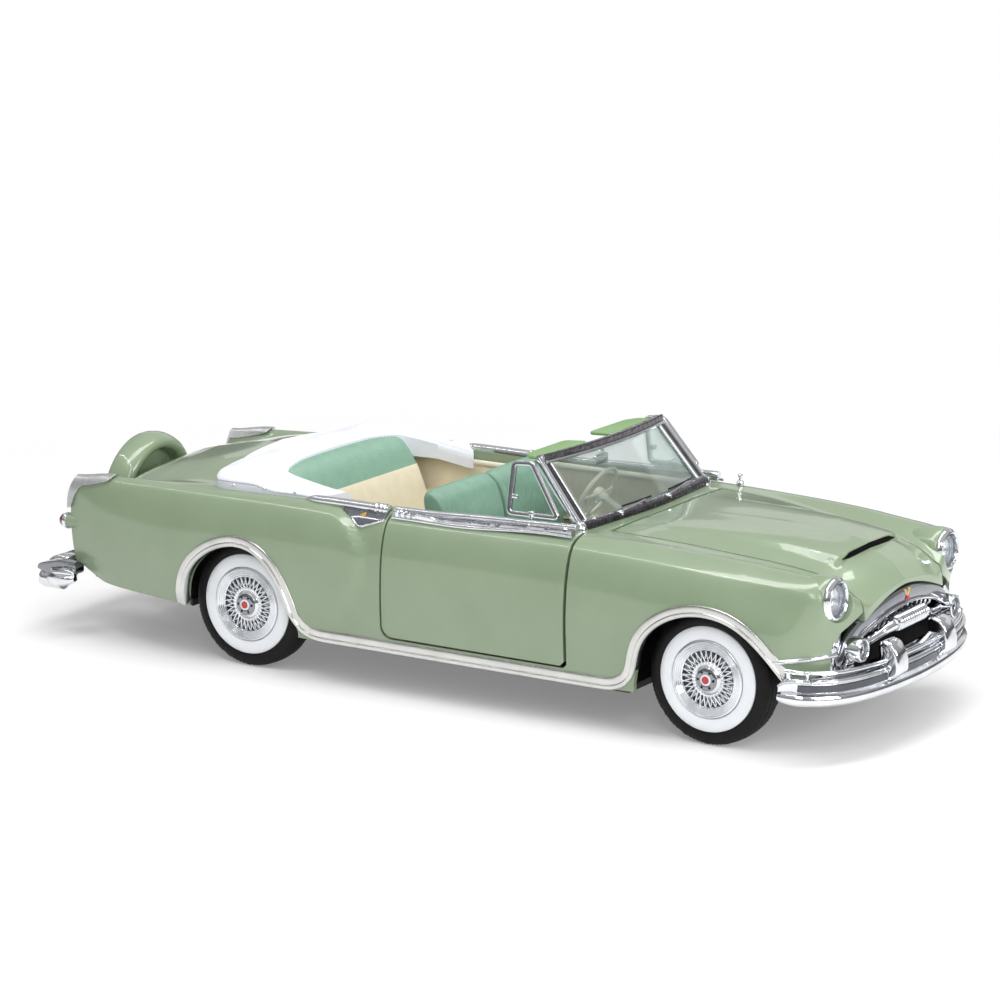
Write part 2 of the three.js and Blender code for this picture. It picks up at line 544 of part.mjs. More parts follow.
// ---------------------------------------------------------------- lamps
const bezel = [[3.6, -1], [HEADLIGHT.r, -2.4], [HEADLIGHT.r, 1.2], [4.4, 2.2], [3.9, 2], [3.6, 1]];
placePair("headlight_bezel", CHROME, at(lathe([...bezel, bezel[0]], 18, "X"),
  HEADLIGHT.x, -HEADLIGHT.y, HEADLIGHT.z));
placePair("headlight_lens", CLEAR, at(lathe([[0, -0.8], [3.3, -0.8], [3.3, 1], [2.2, 2], [0, 2.4]], 14, "X"),
  HEADLIGHT.x, -HEADLIGHT.y, HEADLIGHT.z));
placePair("tail_lens", RED_LENS, at(lathe([[0, -2.4], [1.2, -2], [2, 0], [0, 0]], 12, "X"),
  -109.4, -34.4, 27.8));

// ---------------------------------------------------------------- bumpers and grille
const bladeSection = outline([
  [-2.4, -1.2], [-1.2, 0.8], [0, 1.2], [1.4, 0.8], [2.4, -0.8], [2.4, -1.6], [-2.4, -1.6],
]);
const frontBlade = sweep([[98, 39.8, 16.6], [104.5, 37.4, 16], [110.4, 29.6, 15.4], [113.6, 17, 15.2],
  [114.6, 0, 15.2], [113.6, -17, 15.2], [110.4, -29.6, 15.4], [104.5, -37.4, 16], [98, -39.8, 16.6]],
  bladeSection, 24);
const guardShape = outline([[110, 14], [116.6, 14], [FRONT_END_X, 17], [FRONT_END_X, 23.6], [115.4, 26], [113.4, 26],
  [112.6, 18], [110, 17]]);
const frontGuards = prism(guardShape, 10.4, 15, "XZ").add(prism(guardShape, -15, -10.4, "XZ"));
const frontIrons = boxPair(104.6, 113, 17, 19.4, 13.6, 15.4);
const bodyClear = bodyBlock(MOULDING_CLEAR);
place("front_bumper", CHROME, joined([frontBlade, frontGuards, frontIrons])
  .subtract(bodyClear.subtract(innerBlock)));

const BLADE_X = REAR_END_X + 1.7;
const rearBlade = sweep([[-103, -38, 15.6], [-108.4, -36.6, 14.6], [-113.4, -31, 14.2], [BLADE_X, -14, 14.2],
  [BLADE_X, 14, 14.2], [-113.4, 31, 14.2], [-108.4, 36.6, 14.6], [-103, 38, 15.6]], bladeSection, 22);
const rearGuardShape = outline([[-113.4, 12.4], [REAR_END_X, 13], [REAR_END_X, 17], [-113.6, 18.4], [-109, 18.4],
  [-109, 17]]);
const rearGuards = prism(rearGuardShape, 26, 30.4, "XZ").add(prism(rearGuardShape, -30.4, -26, "XZ"));
const splashPan = box(-115.4, -103.4, -24, 24, 16.8, 17.8);
const rearIrons = boxPair(-116, -104, 18, 20.4, 13.6, 17.4);
const spareClear = at(rod(SPARE.r + 0.6, -7, 7, "X", 24), SPARE.x, 0, SPARE.z);
place("rear_bumper", CHROME, joined([rearBlade, rearGuards, splashPan, rearIrons])
  .intersect(box(REAR_END_X, 0, -50, 50, 0, 50))
  .subtract(bodyClear.subtract(innerBlock)).subtract(spareClear));

const arch = sweep([[108.2, -25.4, 20], [108.8, -24.6, 25], [109.6, -19.4, 28.2], [110.6, -10, 31], [111, 0, 32.2],
  [110.6, 10, 31], [109.6, 19.4, 28.2], [108.8, 24.6, 25], [108.2, 25.4, 20]], roundSection(1.3), 20);
const bar = sweep([[108.4, -24, 23.6], [109.4, -17, 24], [111.2, -10, 26.6], [111.8, 0, 27], [111.2, 10, 26.6],
  [109.4, 17, 24], [108.4, 24, 23.6]], roundSection(1.2, 6), 14);
const fluted = at(rod(1.9, -8, 8, "Y", 16), 111.8, 0, 27);
const pods = joined([-1, 1].map((s) => at(rod(POD.r, -3, 3.6, "X", 16), POD.x, s * POD.y, POD.z)));
const lowerBar = sweep([[107.6, -25.4, 20], [109, -12, 19.8], [109.4, 0, 19.8], [109, 12, 19.8], [107.6, 25.4, 20]],
  roundSection(0.8, 6), 8);
place("grille", CHROME, largest(joined([arch, bar, fluted, pods, lowerBar])
  .subtract(clearShell.subtract(box(103 + GAP, 120, -27 + GAP, 27 - GAP, 10, 29)).subtract(
    prism(lipOutline, 90, 120, "YZ").translate([0, 0, -GAP])))));

// ---------------------------------------------------------------- cabin
const REAR_WELL = { x: -30.6, half: 27.6, top: 33.4 }; // the cabin narrows between the rear wheels
const tubFloor = box(REAR_WELL.x, 38.4, -32.6, 32.6, FLOOR_Z, FLOOR_Z + 1.2)
  .add(box(-46, REAR_WELL.x + 1, -REAR_WELL.half, REAR_WELL.half, FLOOR_Z, FLOOR_Z + 1.2));
const tubWalls = boxPair(-46, REAR_WELL.x, REAR_WELL.half - 1.2, REAR_WELL.half, FLOOR_Z, REAR_WELL.top)
  .add(boxPair(-46, REAR_WELL.x, REAR_WELL.half - 1.2, 31, REAR_WELL.top - 1.2, REAR_WELL.top))
  .add(boxPair(REAR_WELL.x - 1.2, REAR_WELL.x, REAR_WELL.half - 1.2, 31, FLOOR_Z, REAR_WELL.top))
  .add(boxPair(-46, DOOR_REAR_X - 1, 29.8, 31, REAR_WELL.top - 1.2, 41.6))
  .add(boxPair(REAR_WELL.x - 1.2, DOOR_REAR_X - 1, 29.8, 31, FLOOR_Z, 41.6));
const tubFirewall = box(37.2, 38.4, -30, 30, FLOOR_Z, 27.6);
const tubRear = box(-46, -44.8, -31, 31, REAR_WELL.top - 1.2, 41)
  .add(box(-46, -44.8, -REAR_WELL.half, REAR_WELL.half, FLOOR_Z, REAR_WELL.top));
const tunnel = box(-46, 38, -3, 3, FLOOR_Z, 17);
place("interior_tub", BEIGE_PLASTIC, joined([tubFloor, tubWalls, tubFirewall, tubRear, tunnel]));

const SEAT_HALF = 26;
const seatBase = (x0, x1, top) => box(x0, x1, -SEAT_HALF, SEAT_HALF, FLOOR_Z + 4.3, top);
const backShape = (x, z, h) => outline([
  [x, z], [x + 6, z], [x + 3, z + h - 3], [x + 0.6, z + h], [x - 2.6, z + h - 0.4], [x - 3.4, z + h - 3],
]);
place("rear_seat", GREEN_PLASTIC, seatBase(-42, -22, 29).add(prism(backShape(-40.6, 28, 19), -24, 24, "XZ")));
const frontBack = (y0, y1) => prism(backShape(-1, 26, 22), y0, y1, "XZ");
place("front_seat", GREEN_PLASTIC, joined([
  seatBase(0, 20, 28), frontBack(-SEAT_HALF, -1), frontBack(1, SEAT_HALF),
]));

const DASH = [[36.8, 28], [30, 31], [29.4, 38], [31.6, 41.8], [39.4, 43]];
const dashShape = outline(DASH);
place("dashboard", CREAM_PLASTIC, largest(prism(dashShape, -30, 30, "XZ").subtract(clearShell)));
const steeringRing = lathe([[6.6, -0.5], [7.5, 0], [6.6, 0.5], [6.6, -0.5]], 20, "Z");
const spokes = box(-6.8, 6.8, -0.6, 0.6, -0.5, 0.5).add(rod(1.3, -1, 1, "Z", 12));
const column = rod(0.8, -9.4, 0, "Z", 10);
place("steering_wheel", CREAM_PLASTIC, at(joined([steeringRing, spokes, column]).rotate([0, -62, 0]),
  20, 14, 42.6));

// ---------------------------------------------------------------- chassis and engine
const PLATE_Z = 9.6;
const plateSide = outline([[-101, 14.6], [-72, 12.2], [-66, PLATE_Z], [96, PLATE_Z], [104, 12.4], [104, 13.8],
  [95.6, 11.2], [-65.6, 11.2], [-71.8, 13.8], [-101, 16]]);
const plateHalf = [[-101, 30], [-70, 31], [-70, 21], [-30, 21], [-30, 36.6], [59, 36.6], [59, 19], [100, 19],
  [104, 15]];
const platePlan = outline([...plateHalf, ...across(plateHalf).reverse()]);
const rearBearings = boxPair(REAR_AXLE_X - 2.6, REAR_AXLE_X + 2.6, 14, 18, PLATE_Z, 18.4);
const upperArms = boxPair(FRONT_AXLE_X - 2.4, FRONT_AXLE_X + 2.4, 14, 27.6, 19.6, 21);
const lowerArms = boxPair(FRONT_AXLE_X - 2.4, FRONT_AXLE_X + 2.4, 14, 27.6, PLATE_Z, 11.2);
const armPosts = boxPair(FRONT_AXLE_X - 2.4, FRONT_AXLE_X + 2.4, 14, 18.4, PLATE_Z, 21);
const kingpinHoles = joined([-1, 1].map((s) =>
  at(rod(KINGPIN.r + 0.3, 5, 25, "Z"), FRONT_AXLE_X, s * KINGPIN.y, 0)));
const axleHole = at(rod(AXLE_R + 0.3, -30, 30, "Y"), REAR_AXLE_X, 0, TYRE_R);
const screwHoles = joined(SCREWS.map(({ x, y, seatZ }) =>
  at(rod(1, 5, 20, "Z", 12), x, y, 0).add(at(rod(2, 5, seatZ + GAP, "Z", 12), x, y, 0))));
const exhaust = sweep([[60, 12, 9.4], [20, 14, 9], [-30, 14, 9], [-50, 12, 10.4], [-72, 14, 12], [-99, 24, 13.6]],
  roundSection(1, 6), 12).add(at(rod(2.2, -14, 10, "X", 10), 0, 14, 9.2));
place("chassis", BLACK_PLASTIC, largest(prism(plateSide, -40, 40, "XZ").intersect(prism(platePlan, 0, 30, "XY"))
  .add(joined([rearBearings, upperArms, lowerArms, armPosts, exhaust]))
  .subtract(kingpinHoles).subtract(axleHole).subtract(screwHoles)));
SCREWS.forEach(({ name, x, y, seatZ }) => {
  const screw = rod(1.6, seatZ - 1, seatZ, "Z", 12).add(rod(0.7, seatZ - 0.5, seatZ + 6, "Z", 10));
  place(name, STEEL, at(screw, x, y, 0));
});
const block = box(62, 88, -6, 6, 22, 33);
const heads = box(63, 87, -4, 4, 32, 36);
const cleaner = at(rod(5, 35, 39.4, "Z", 20), 76, 0, 0);
const radiator = box(95, 97, -15, 15, 16, 36);
const fan = at(rod(4.6, 88, 93, "X", 16), 0, 0, 27);
const shroud = box(92, 96, -4, 4, 22, 30);
const mounts = box(60, 95.6, -8, 8, 21.4, 23);
place("engine", ENGINE_PAINT, joined([block, heads, cleaner, radiator, fan, shroud, mounts]));

// ---------------------------------------------------------------- running gear
const knuckle = joined([
  rod(KINGPIN.r, 9.8, 20.8, "Z", 12),
  box(-2, 2, -2, 2, 13, 18.6),
  at(rod(AXLE_R, -9, 0, "Y", 12), 0, 0, TYRE_R),
  box(-STEERING_ARM.length - 1, 0, -1, 1, 13, 14.2),
  at(rod(0.6, STEERING_ARM.z - 0.6, 13.6, "Z", 8), -STEERING_ARM.length, 0, 0),
]);
placePair("knuckle", BLACK_PLASTIC, at(knuckle, FRONT_AXLE_X, -KINGPIN.y, 0));
const rodX = FRONT_AXLE_X - STEERING_ARM.length;
const tieRodHoles = joined([-1, 1].map((s) => at(rod(1.3, 5, 20, "Z", 12), rodX + 0.2, s * KINGPIN.y, 0)));
place("tie_rod", BLACK_PLASTIC, box(rodX - 1.8, rodX + 2.2, -27.4, 27.4, 11.5, 12.6).subtract(tieRodHoles));

place("rear_axle", STEEL, at(rod(AXLE_R, -34.4, 34.4, "Y", 12), REAR_AXLE_X, 0, TYRE_R));

const inner = TYRE_OUTER_Y - TYRE_WIDTH;
const tyreProfile = [[HUB_R + GAP, inner + 0.6], [TYRE_R - 1.2, inner], [TYRE_R, inner + 1.6],
  [TYRE_R, TYRE_OUTER_Y - 1.6], [TYRE_R - 0.9, TYRE_OUTER_Y - 0.3], [WHITEWALL_R + GAP, TYRE_OUTER_Y],
  [WHITEWALL_R + GAP, TYRE_OUTER_Y - 1.2], [HUB_R + GAP, TYRE_OUTER_Y - 1.2]];
const ringProfile = [[HUB_R + GAP, TYRE_OUTER_Y - 0.9], [WHITEWALL_R, TYRE_OUTER_Y - 0.9],
  [WHITEWALL_R, TYRE_OUTER_Y], [HUB_R + GAP, TYRE_OUTER_Y + 0.1]];
const hubProfile = [[0, 35], [AXLE_R + 0.3, 35], [AXLE_R + 0.3, inner + 1.4], [2.4, inner + 1.4], [2.6, 33.6],
  [8, 33.6], [8.2, inner + 0.8], [HUB_R, inner + 0.8], [HUB_R, 36.6], [8.5, 36.9], [7, 35.6], [2.6, 36.3],
  [2.3, 37.2], [0, 37.5]];
const WHEEL_SEGMENTS = 24;
const closedLathe = (profile, segments) => lathe([...profile, profile[0]], segments);
const tyre = closedLathe(tyreProfile, WHEEL_SEGMENTS);
const whitewall = closedLathe(ringProfile, WHEEL_SEGMENTS);
const hub = lathe(hubProfile, 16);
[["front", FRONT_AXLE_X], ["rear", REAR_AXLE_X]].forEach(([end, x]) => {
  [["left", (s) => s], ["right", mirrored]].forEach(([side, turned]) => {
    place(`tyre_${end}_${side}`, RUBBER, at(turned(tyre), x, 0, TYRE_R));
    place(`whitewall_${end}_${side}`, WHITE_RUBBER, at(turned(whitewall), x, 0, TYRE_R));
    place(`hub_${end}_${side}`, CHROME, at(turned(hub), x, 0, TYRE_R));
  });
});

// A retracted radio aerial on the left fender.
place("aerial", CHROME, at(rod(0.9, 0, 0.8, "Z", 10).add(rod(0.35, 0.5, 1.8, "Z", 8))
  .add(at(lathe([[0, -0.7], [0.6, -0.3], [0.6, 0.3], [0, 0.7]], 8, "Z"), 0, 0, 2)), 50, 31.6, 44.9));

export default car;
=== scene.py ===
import json
import math

import bmesh
import bpy
import numpy as np
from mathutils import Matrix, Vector

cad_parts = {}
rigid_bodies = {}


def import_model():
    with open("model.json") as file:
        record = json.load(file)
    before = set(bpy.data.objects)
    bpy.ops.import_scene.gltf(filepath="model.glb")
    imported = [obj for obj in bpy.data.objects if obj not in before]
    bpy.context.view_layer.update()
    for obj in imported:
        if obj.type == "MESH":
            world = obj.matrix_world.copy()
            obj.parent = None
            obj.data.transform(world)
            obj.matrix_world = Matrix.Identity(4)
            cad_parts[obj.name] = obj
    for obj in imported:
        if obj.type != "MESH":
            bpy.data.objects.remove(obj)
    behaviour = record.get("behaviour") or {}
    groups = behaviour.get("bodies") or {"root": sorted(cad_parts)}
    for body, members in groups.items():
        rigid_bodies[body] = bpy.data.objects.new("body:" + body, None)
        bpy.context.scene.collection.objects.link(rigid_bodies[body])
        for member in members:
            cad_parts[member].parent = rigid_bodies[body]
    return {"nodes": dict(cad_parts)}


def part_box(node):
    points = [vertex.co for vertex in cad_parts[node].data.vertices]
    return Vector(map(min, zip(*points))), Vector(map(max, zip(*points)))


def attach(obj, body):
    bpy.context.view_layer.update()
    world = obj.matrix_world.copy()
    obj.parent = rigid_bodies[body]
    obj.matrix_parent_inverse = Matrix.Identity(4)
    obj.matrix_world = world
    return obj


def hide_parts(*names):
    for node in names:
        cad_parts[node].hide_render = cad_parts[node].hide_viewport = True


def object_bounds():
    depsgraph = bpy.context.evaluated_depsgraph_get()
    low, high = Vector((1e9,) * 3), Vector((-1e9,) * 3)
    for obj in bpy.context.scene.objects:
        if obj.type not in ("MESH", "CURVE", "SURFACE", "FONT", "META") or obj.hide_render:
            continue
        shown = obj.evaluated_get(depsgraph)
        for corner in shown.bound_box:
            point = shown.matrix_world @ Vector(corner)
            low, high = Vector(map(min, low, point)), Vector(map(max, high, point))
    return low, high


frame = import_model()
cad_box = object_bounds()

MM = 0.001


# ---------------------------------------------------------------- the frame's places, in millimetres
def node_box(name):
    low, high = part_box(name)
    return np.array(low) / MM, np.array(high) / MM


def node_centre(name):
    low, high = node_box(name)
    return (low + high) / 2


def node_radius(name):
    low, high = node_box(name)
    return (high[2] - low[2]) / 2


LENGTH = float(cad_box[1][0] - cad_box[0][0]) / MM
REAR_END_X = -LENGTH / 2
TYRE_R = node_box("tyre_front_left")[1][2] / 2
TYRE_OUTER_Y = node_box("tyre_front_left")[1][1]
TYRE_INNER_Y = node_box("tyre_front_left")[0][1]
WHITEWALL_R = node_radius("whitewall_front_left")
HUB_R = node_radius("hub_front_left")
FRONT_AXLE_X = node_centre("hub_front_left")[0]
REAR_AXLE_X = node_centre("hub_rear_left")[0]
DOOR_REAR_END_X = node_box("door_left")[0][0]
HEADLIGHT = node_centre("headlight_lens_left")
HEADLIGHT_R = node_radius("headlight_bezel_left")
TAIL_LAMP = node_centre("tail_lens_left")
SKIN = 1.5  # the casting's thickness
SHUT_GAP = 0.5
BEYOND = 60  # past either side of the car, and past its top


# ---------------------------------------------------------------- materials
class Look:
    """A node material: its shader, and short ways to add nodes to it."""

    def __init__(self, name, **values):
        self.material = bpy.data.materials.new(name)
        self.material.use_nodes = True
        self.tree = self.material.node_tree
        self.shader = self.tree.nodes["Principled BSDF"]
        self.output = self.tree.nodes["Material Output"]
        self.place = self.node("ShaderNodeTexCoord").outputs["Object"]
        for key, value in values.items():
            self.shader.inputs[key.replace("_", " ")].default_value = value

    def node(self, kind, **settings):
        made = self.tree.nodes.new(kind)
        for key, value in settings.items():
            setattr(made, key, value)
        return made

    def feed(self, value, socket):
        if isinstance(value, bpy.types.NodeSocket):
            self.tree.links.new(value, socket)
        else:
            socket.default_value = value

    def noise(self, size, detail=3.0):
        """Noise whose features are about size mm across."""
        made = self.node("ShaderNodeTexNoise")
        made.inputs["Scale"].default_value = 1 / (size * MM)
        made.inputs["Detail"].default_value = detail
        self.feed(self.place, made.inputs["Vector"])
        return made.outputs["Fac"]

    def cells(self, size):
        """A pebbled pattern whose cells are about size mm across."""
        made = self.node("ShaderNodeTexVoronoi")
        made.inputs["Scale"].default_value = 1 / (size * MM)
        self.feed(self.place, made.inputs["Vector"])
        return made.outputs["Distance"]

    def spread(self, value, low, high, out_low=0.0, out_high=1.0):
        made = self.node("ShaderNodeMapRange")
        limits = {"From Min": low, "From Max": high, "To Min": out_low, "To Max": out_high}
        for key, number in limits.items():
            made.inputs[key].default_value = number
        self.feed(value, made.inputs["Value"])
        return made.outputs["Result"]

    def blend(self, share, first, second):
        made = self.node("ShaderNodeMix", data_type="RGBA")
        self.feed(share, made.inputs["Factor"])
        for name, colour in (("A", first), ("B", second)):
            socket = next(s for s in made.inputs if s.name == name and s.type == "RGBA")
            self.feed(colour, socket)
        return next(s for s in made.outputs if s.type == "RGBA")

    def add(self, first, second, operation="ADD"):
        made = self.node("ShaderNodeMath", operation=operation)
        self.feed(first, made.inputs[0])
        self.feed(second, made.inputs[1])
        return made.outputs[0]

    def relief(self, height, depth, edge=0.0):
        """Bump of depth mm, over edges rounded to edge mm."""
        made = self.node("ShaderNodeBump")
        made.inputs["Distance"].default_value = depth * MM
        self.feed(height, made.inputs["Height"])
        if edge:
            rounded = self.node("ShaderNodeBevel", samples=4)
            rounded.inputs["Radius"].default_value = edge * MM
            self.feed(rounded.outputs["Normal"], made.inputs["Normal"])
        self.feed(made.outputs["Normal"], self.shader.inputs["Normal"])
        return made.outputs["Normal"]

    def colour(self, value):
        self.feed(value, self.shader.inputs["Base Color"])

    def roughness(self, value):
        self.feed(value, self.shader.inputs["Roughness"])

    def mottle(self, size, first, second):
        """A colour that drifts between two over patches about size mm across."""
        self.colour(self.blend(self.spread(self.noise(size), 0.3, 0.7), first, second))

    def gloss(self, size, low, high):
        """Roughness that drifts between two values over patches about size mm across."""
        self.roughness(self.spread(self.noise(size), 0.3, 0.7, low, high))


def shaded(colour, share):
    return tuple(share * c for c in colour[:3]) + (1,)


def srgb(red, green, blue):
    """A linear colour from 0-255 screen values."""
    linear = [((c / 255 + 0.055) / 1.055) ** 2.4 if c > 10 else c / 255 / 12.92 for c in (red, green, blue)]
    return (*linear, 1.0)


def green_paint():
    look = Look("green_paint", Coat_Weight=1.0, Coat_Roughness=0.035, Specular_IOR_Level=0.5)
    cloud = look.noise(18, 4)
    look.colour(look.blend(look.spread(cloud, 0.35, 0.65), srgb(130, 148, 119), srgb(135, 153, 124)))
    look.gloss(3, 0.3, 0.4)
    normal = look.relief(look.noise(1.1, 2), 0.006, edge=0.3)
    look.feed(normal, look.shader.inputs["Coat Normal"])
    return look.material


def chrome(name="chrome_plate", tint=srgb(236, 238, 242), rough=(0.05, 0.13), ripple=0.012):
    look = Look(name, Metallic=1.0)
    look.mottle(5, tint, shaded(tint, 0.86))
    look.gloss(1.4, *rough)
    look.relief(look.noise(1.6, 2), ripple, edge=0.18)
    return look.material


def dull_metal(name, base, rough, grain):
    """Satin paint or bare metal with a fine grain."""
    look = Look(name, Metallic=0.85)
    look.mottle(2.2, base, shaded(base, 0.8))
    look.gloss(0.5, rough - 0.06, rough + 0.08)
    look.relief(look.noise(0.22, 2), grain, edge=0.25)
    return look.material


def grained(name, base, rough, grain_size, depth, shade=0.9, **values):
    """Moulded plastic, rubber or vinyl: a leathery or sanded grain in the surface and in the colour."""
    look = Look(name, **values)
    grain = look.cells(grain_size)
    soft = look.noise(grain_size * 12, 4)
    look.colour(look.blend(look.spread(soft, 0.3, 0.7), base, shaded(base, shade)))
    look.roughness(look.spread(look.add(grain, soft, "MULTIPLY"), 0.1, 0.5, rough - 0.05, rough + 0.08))
    look.relief(look.add(grain, look.noise(grain_size * 3)), depth, edge=0.2)
    return look.material


def clear(name, tint, mirror, haze, metallic=1.0):
    """Clear plastic: what lies behind shows through, under a glossy film."""
    look = Look(name, Roughness=0.04, Metallic=metallic)
    look.mottle(9, tint, shaded(tint, 0.93))
    look.relief(look.noise(4, 1), 0.004, edge=0.1)
    through = look.node("ShaderNodeBsdfTransparent")
    through.inputs["Color"].default_value = tint
    film = look.node("ShaderNodeFresnel")
    film.inputs["IOR"].default_value = 1.5
    share = look.add(look.add(film.outputs["Fac"], mirror, "MULTIPLY"), haze)
    mixed = look.node("ShaderNodeMixShader")
    look.feed(share, mixed.inputs["Fac"])
    look.feed(through.outputs[0], mixed.inputs[1])
    look.feed(look.shader.outputs[0], mixed.inputs[2])
    look.feed(mixed.outputs[0], look.output.inputs["Surface"])
    return look.material


def red_lens():
    look = Look("red_lens", Coat_Weight=1.0, Coat_Roughness=0.03)
    look.colour(look.blend(look.spread(look.cells(0.5), 0.1, 0.6), srgb(170, 16, 30), srgb(92, 6, 16)))
    look.gloss(1, 0.12, 0.2)
    look.relief(look.cells(0.5), 0.04, edge=0.1)
    return look.material


PAINT = green_paint()
CHROME = chrome()
BRIGHT = chrome("bright_trim", srgb(214, 214, 211), (0.16, 0.24), 0.004)
# A darker plate, used only as painted shade in the front bumper's groove.
SHADE_CHROME = chrome("painted_shade_chrome", srgb(96, 98, 104), (0.06, 0.14), 0.02)
SMOKED = chrome("smoked_chrome", srgb(150, 152, 158), (0.07, 0.16), 0.02)
ROUGH_CHROME = chrome("rough_chrome", srgb(205, 207, 212), (0.08, 0.2), 0.22)
ROUGH_DARK = chrome("rough_dark_plate", srgb(104, 101, 106), (0.12, 0.3), 0.4)
SATIN = dull_metal("satin_silver", srgb(214, 215, 216), 0.36, 0.01)
STEEL = dull_metal("steel", srgb(150, 152, 156), 0.32, 0.01)
VINYL = grained("white_vinyl", srgb(236, 239, 247), 0.42, 0.32, 0.03, 0.95)
SKIRT = grained("vinyl_skirt", srgb(222, 224, 233), 0.5, 0.45, 0.1, 0.9)
GREEN_SEAT = grained("green_seat", srgb(126, 163, 143), 0.36, 0.25, 0.02, 0.9)
VISOR = grained("visor_green", srgb(132, 168, 112), 0.4, 0.25, 0.01, 0.92)
TAN = grained("tan_vinyl", srgb(188, 178, 150), 0.42, 0.25, 0.02, 0.92)
BEIGE = grained("beige_plastic", srgb(230, 220, 194), 0.42, 0.25, 0.02, 0.92)
CREAM = grained("cream_plastic", srgb(226, 220, 200), 0.3, 0.3, 0.012, 0.95, Coat_Weight=0.4)
CARPET = grained("carpet", srgb(58, 74, 62), 0.9, 0.35, 0.2, 0.7)
BLACK = grained("black_plastic", srgb(24, 24, 26), 0.45, 0.35, 0.03, 0.75)
RUBBER = grained("tyre_rubber", srgb(15, 15, 17), 0.6, 0.22, 0.02, 0.7, Specular_IOR_Level=0.25)
WHITE_RUBBER = grained("white_rubber", srgb(241, 244, 248), 0.4, 0.3, 0.01, 0.96)
ENGINE_PAINT = grained("engine_paint", srgb(64, 96, 78), 0.4, 0.4, 0.03, 0.8)
# Near-black: the own colour of small dark parts such as dial faces and studs, and painted shade in the
# hood's slot, behind the grille and between the grille bar's flutes.
DARK = grained("black_and_painted_shade", srgb(9, 9, 10), 0.8, 0.4, 0.02, 0.7, Specular_IOR_Level=0.1)
RED = grained("red_enamel", srgb(190, 24, 34), 0.25, 0.3, 0.004, 0.85, Coat_Weight=0.8)
YELLOW = grained("yellow_enamel", srgb(214, 170, 46), 0.25, 0.3, 0.004, 0.85, Coat_Weight=0.8)
RED_LENS = red_lens()
GLASS = clear("clear_plastic", srgb(247, 251, 250), 0.5, 0.005)
LENS = clear("clear_lens", srgb(247, 249, 251), 0.9, 0.04, 0.7)


# ---------------------------------------------------------------- shapes
def smooth(t):
    c = np.clip(t, 0, 1)
    return c * c * (3 - 2 * c)


def curve(points, count):
    """count points along a smooth curve through the given ones, evenly spaced."""
    knots = np.array(points, float)
    padded = np.vstack([2 * knots[:1] - knots[1:2], knots, 2 * knots[-1:] - knots[-2:-1]])
    fine = []
    for i in range(len(knots) - 1):
        p0, p1, p2, p3 = padded[i:i + 4]
        for t in np.linspace(0, 1, 24, endpoint=False):
            fine.append(0.5 * (2 * p1 + (p2 - p0) * t + (2 * p0 - 5 * p1 + 4 * p2 - p3) * t ** 2
                               + (3 * p1 - p0 - 3 * p2 + p3) * t ** 3))
    fine.append(knots[-1])
    return even(np.array(fine), count)


def even(points, count):
    """count points spaced evenly along a polyline."""
    steps = np.linalg.norm(np.diff(points, axis=0), axis=1)
    run = np.concatenate([[0], np.cumsum(steps)])
    wanted = np.linspace(0, run[-1], count)
    return np.column_stack([np.interp(wanted, run, points[:, k]) for k in range(points.shape[1])])


def lofted(rings, closed=False):
    """A solid through rings of points, with flat ends unless the last ring meets the first."""
    size, count = len(rings[0]), len(rings)
    faces = []
    for r in range(count if closed else count - 1):
        a, b = r * size, ((r + 1) % count) * size
        faces += [[a + i, a + (i + 1) % size, b + (i + 1) % size, b + i] for i in range(size)]
    if not closed:
        last = (count - 1) * size
        faces += [list(range(size))[::-1], [last + i for i in range(size)]]
    return outward((np.vstack(rings), faces))


def across(half):
    """A line that runs in from the left side to the centre line, carried on to the right side."""
    half = np.array(half, float)
    flip = np.ones(half.shape[1])
    flip[1] = -1
    return np.vstack([half, half[-2::-1] * flip])


def sweep(path, section, up=(0, 0, 1), closed=False, scale=None):
    """A section of (sideways, upwards) points carried along a path."""
    path = np.array(path, float)
    section = np.array(section, float)
    ahead = np.roll(path, -1, axis=0) - np.roll(path, 1, axis=0)
    if not closed:
        ahead[0], ahead[-1] = path[1] - path[0], path[-1] - path[-2]
    ahead /= np.linalg.norm(ahead, axis=1, keepdims=True)
    ups = np.broadcast_to(np.array(up, float), path.shape)
    side = np.cross(ahead, ups)
    side /= np.linalg.norm(side, axis=1, keepdims=True)
    rise = np.cross(side, ahead)
    size = np.ones(len(path)) if scale is None else np.array(scale, float)
    rings = [p + s * (section[:, :1] * a + section[:, 1:] * b) for p, s, a,
             b in zip(path, size, side, rise)]
    return lofted(rings, closed)


def disc(radius, count=12, squash=1.0):
    turn = np.arange(count) * 2 * np.pi / count
    return np.column_stack([radius * np.cos(turn), radius * squash * np.sin(turn)])


def rounded(points, radius, steps=4):
    """An outline with its corners cut to arcs of about the given radius."""
    pts = [np.array(p, float) for p in points]
    made = []
    for i, p in enumerate(pts):
        before, after = pts[i - 1] - p, pts[(i + 1) % len(pts)] - p
        la, lb = np.linalg.norm(before), np.linalg.norm(after)
        reach = min(radius, la / 2.1, lb / 2.1)
        a, b = p + before / la * reach, p + after / lb * reach
        made += [(1 - t) ** 2 * a + 2 * t * (1 - t) * p + t * t * b for t in np.linspace(0, 1, steps)]
    return np.array(made)


def bar_section(half_width, half_height, radius, steps=4):
    """A rounded rectangle."""
    a, b = half_width, half_height
    return rounded([(-a, -b), (a, -b), (a, b), (-a, b)], radius, steps)


def end_sizes(count, sizes):
    """A scale of 1 along a path, with the given sizes at each of its ends."""
    made = np.ones(count)
    for k, size in enumerate(sizes):
        made[k] = made[-1 - k] = size
    return made


SINK = 0.35  # how far a strip is let into the surface it lies on


def half_round(width, height):
    """A D section: flat below, rounded above, sunk a little into the surface it lies on."""
    arc = [(width / 2 * math.cos(a), height * math.sin(a)) for a in np.linspace(0, math.pi, 13)]
    return [*arc, (-width / 2, -SINK), (width / 2, -SINK)]


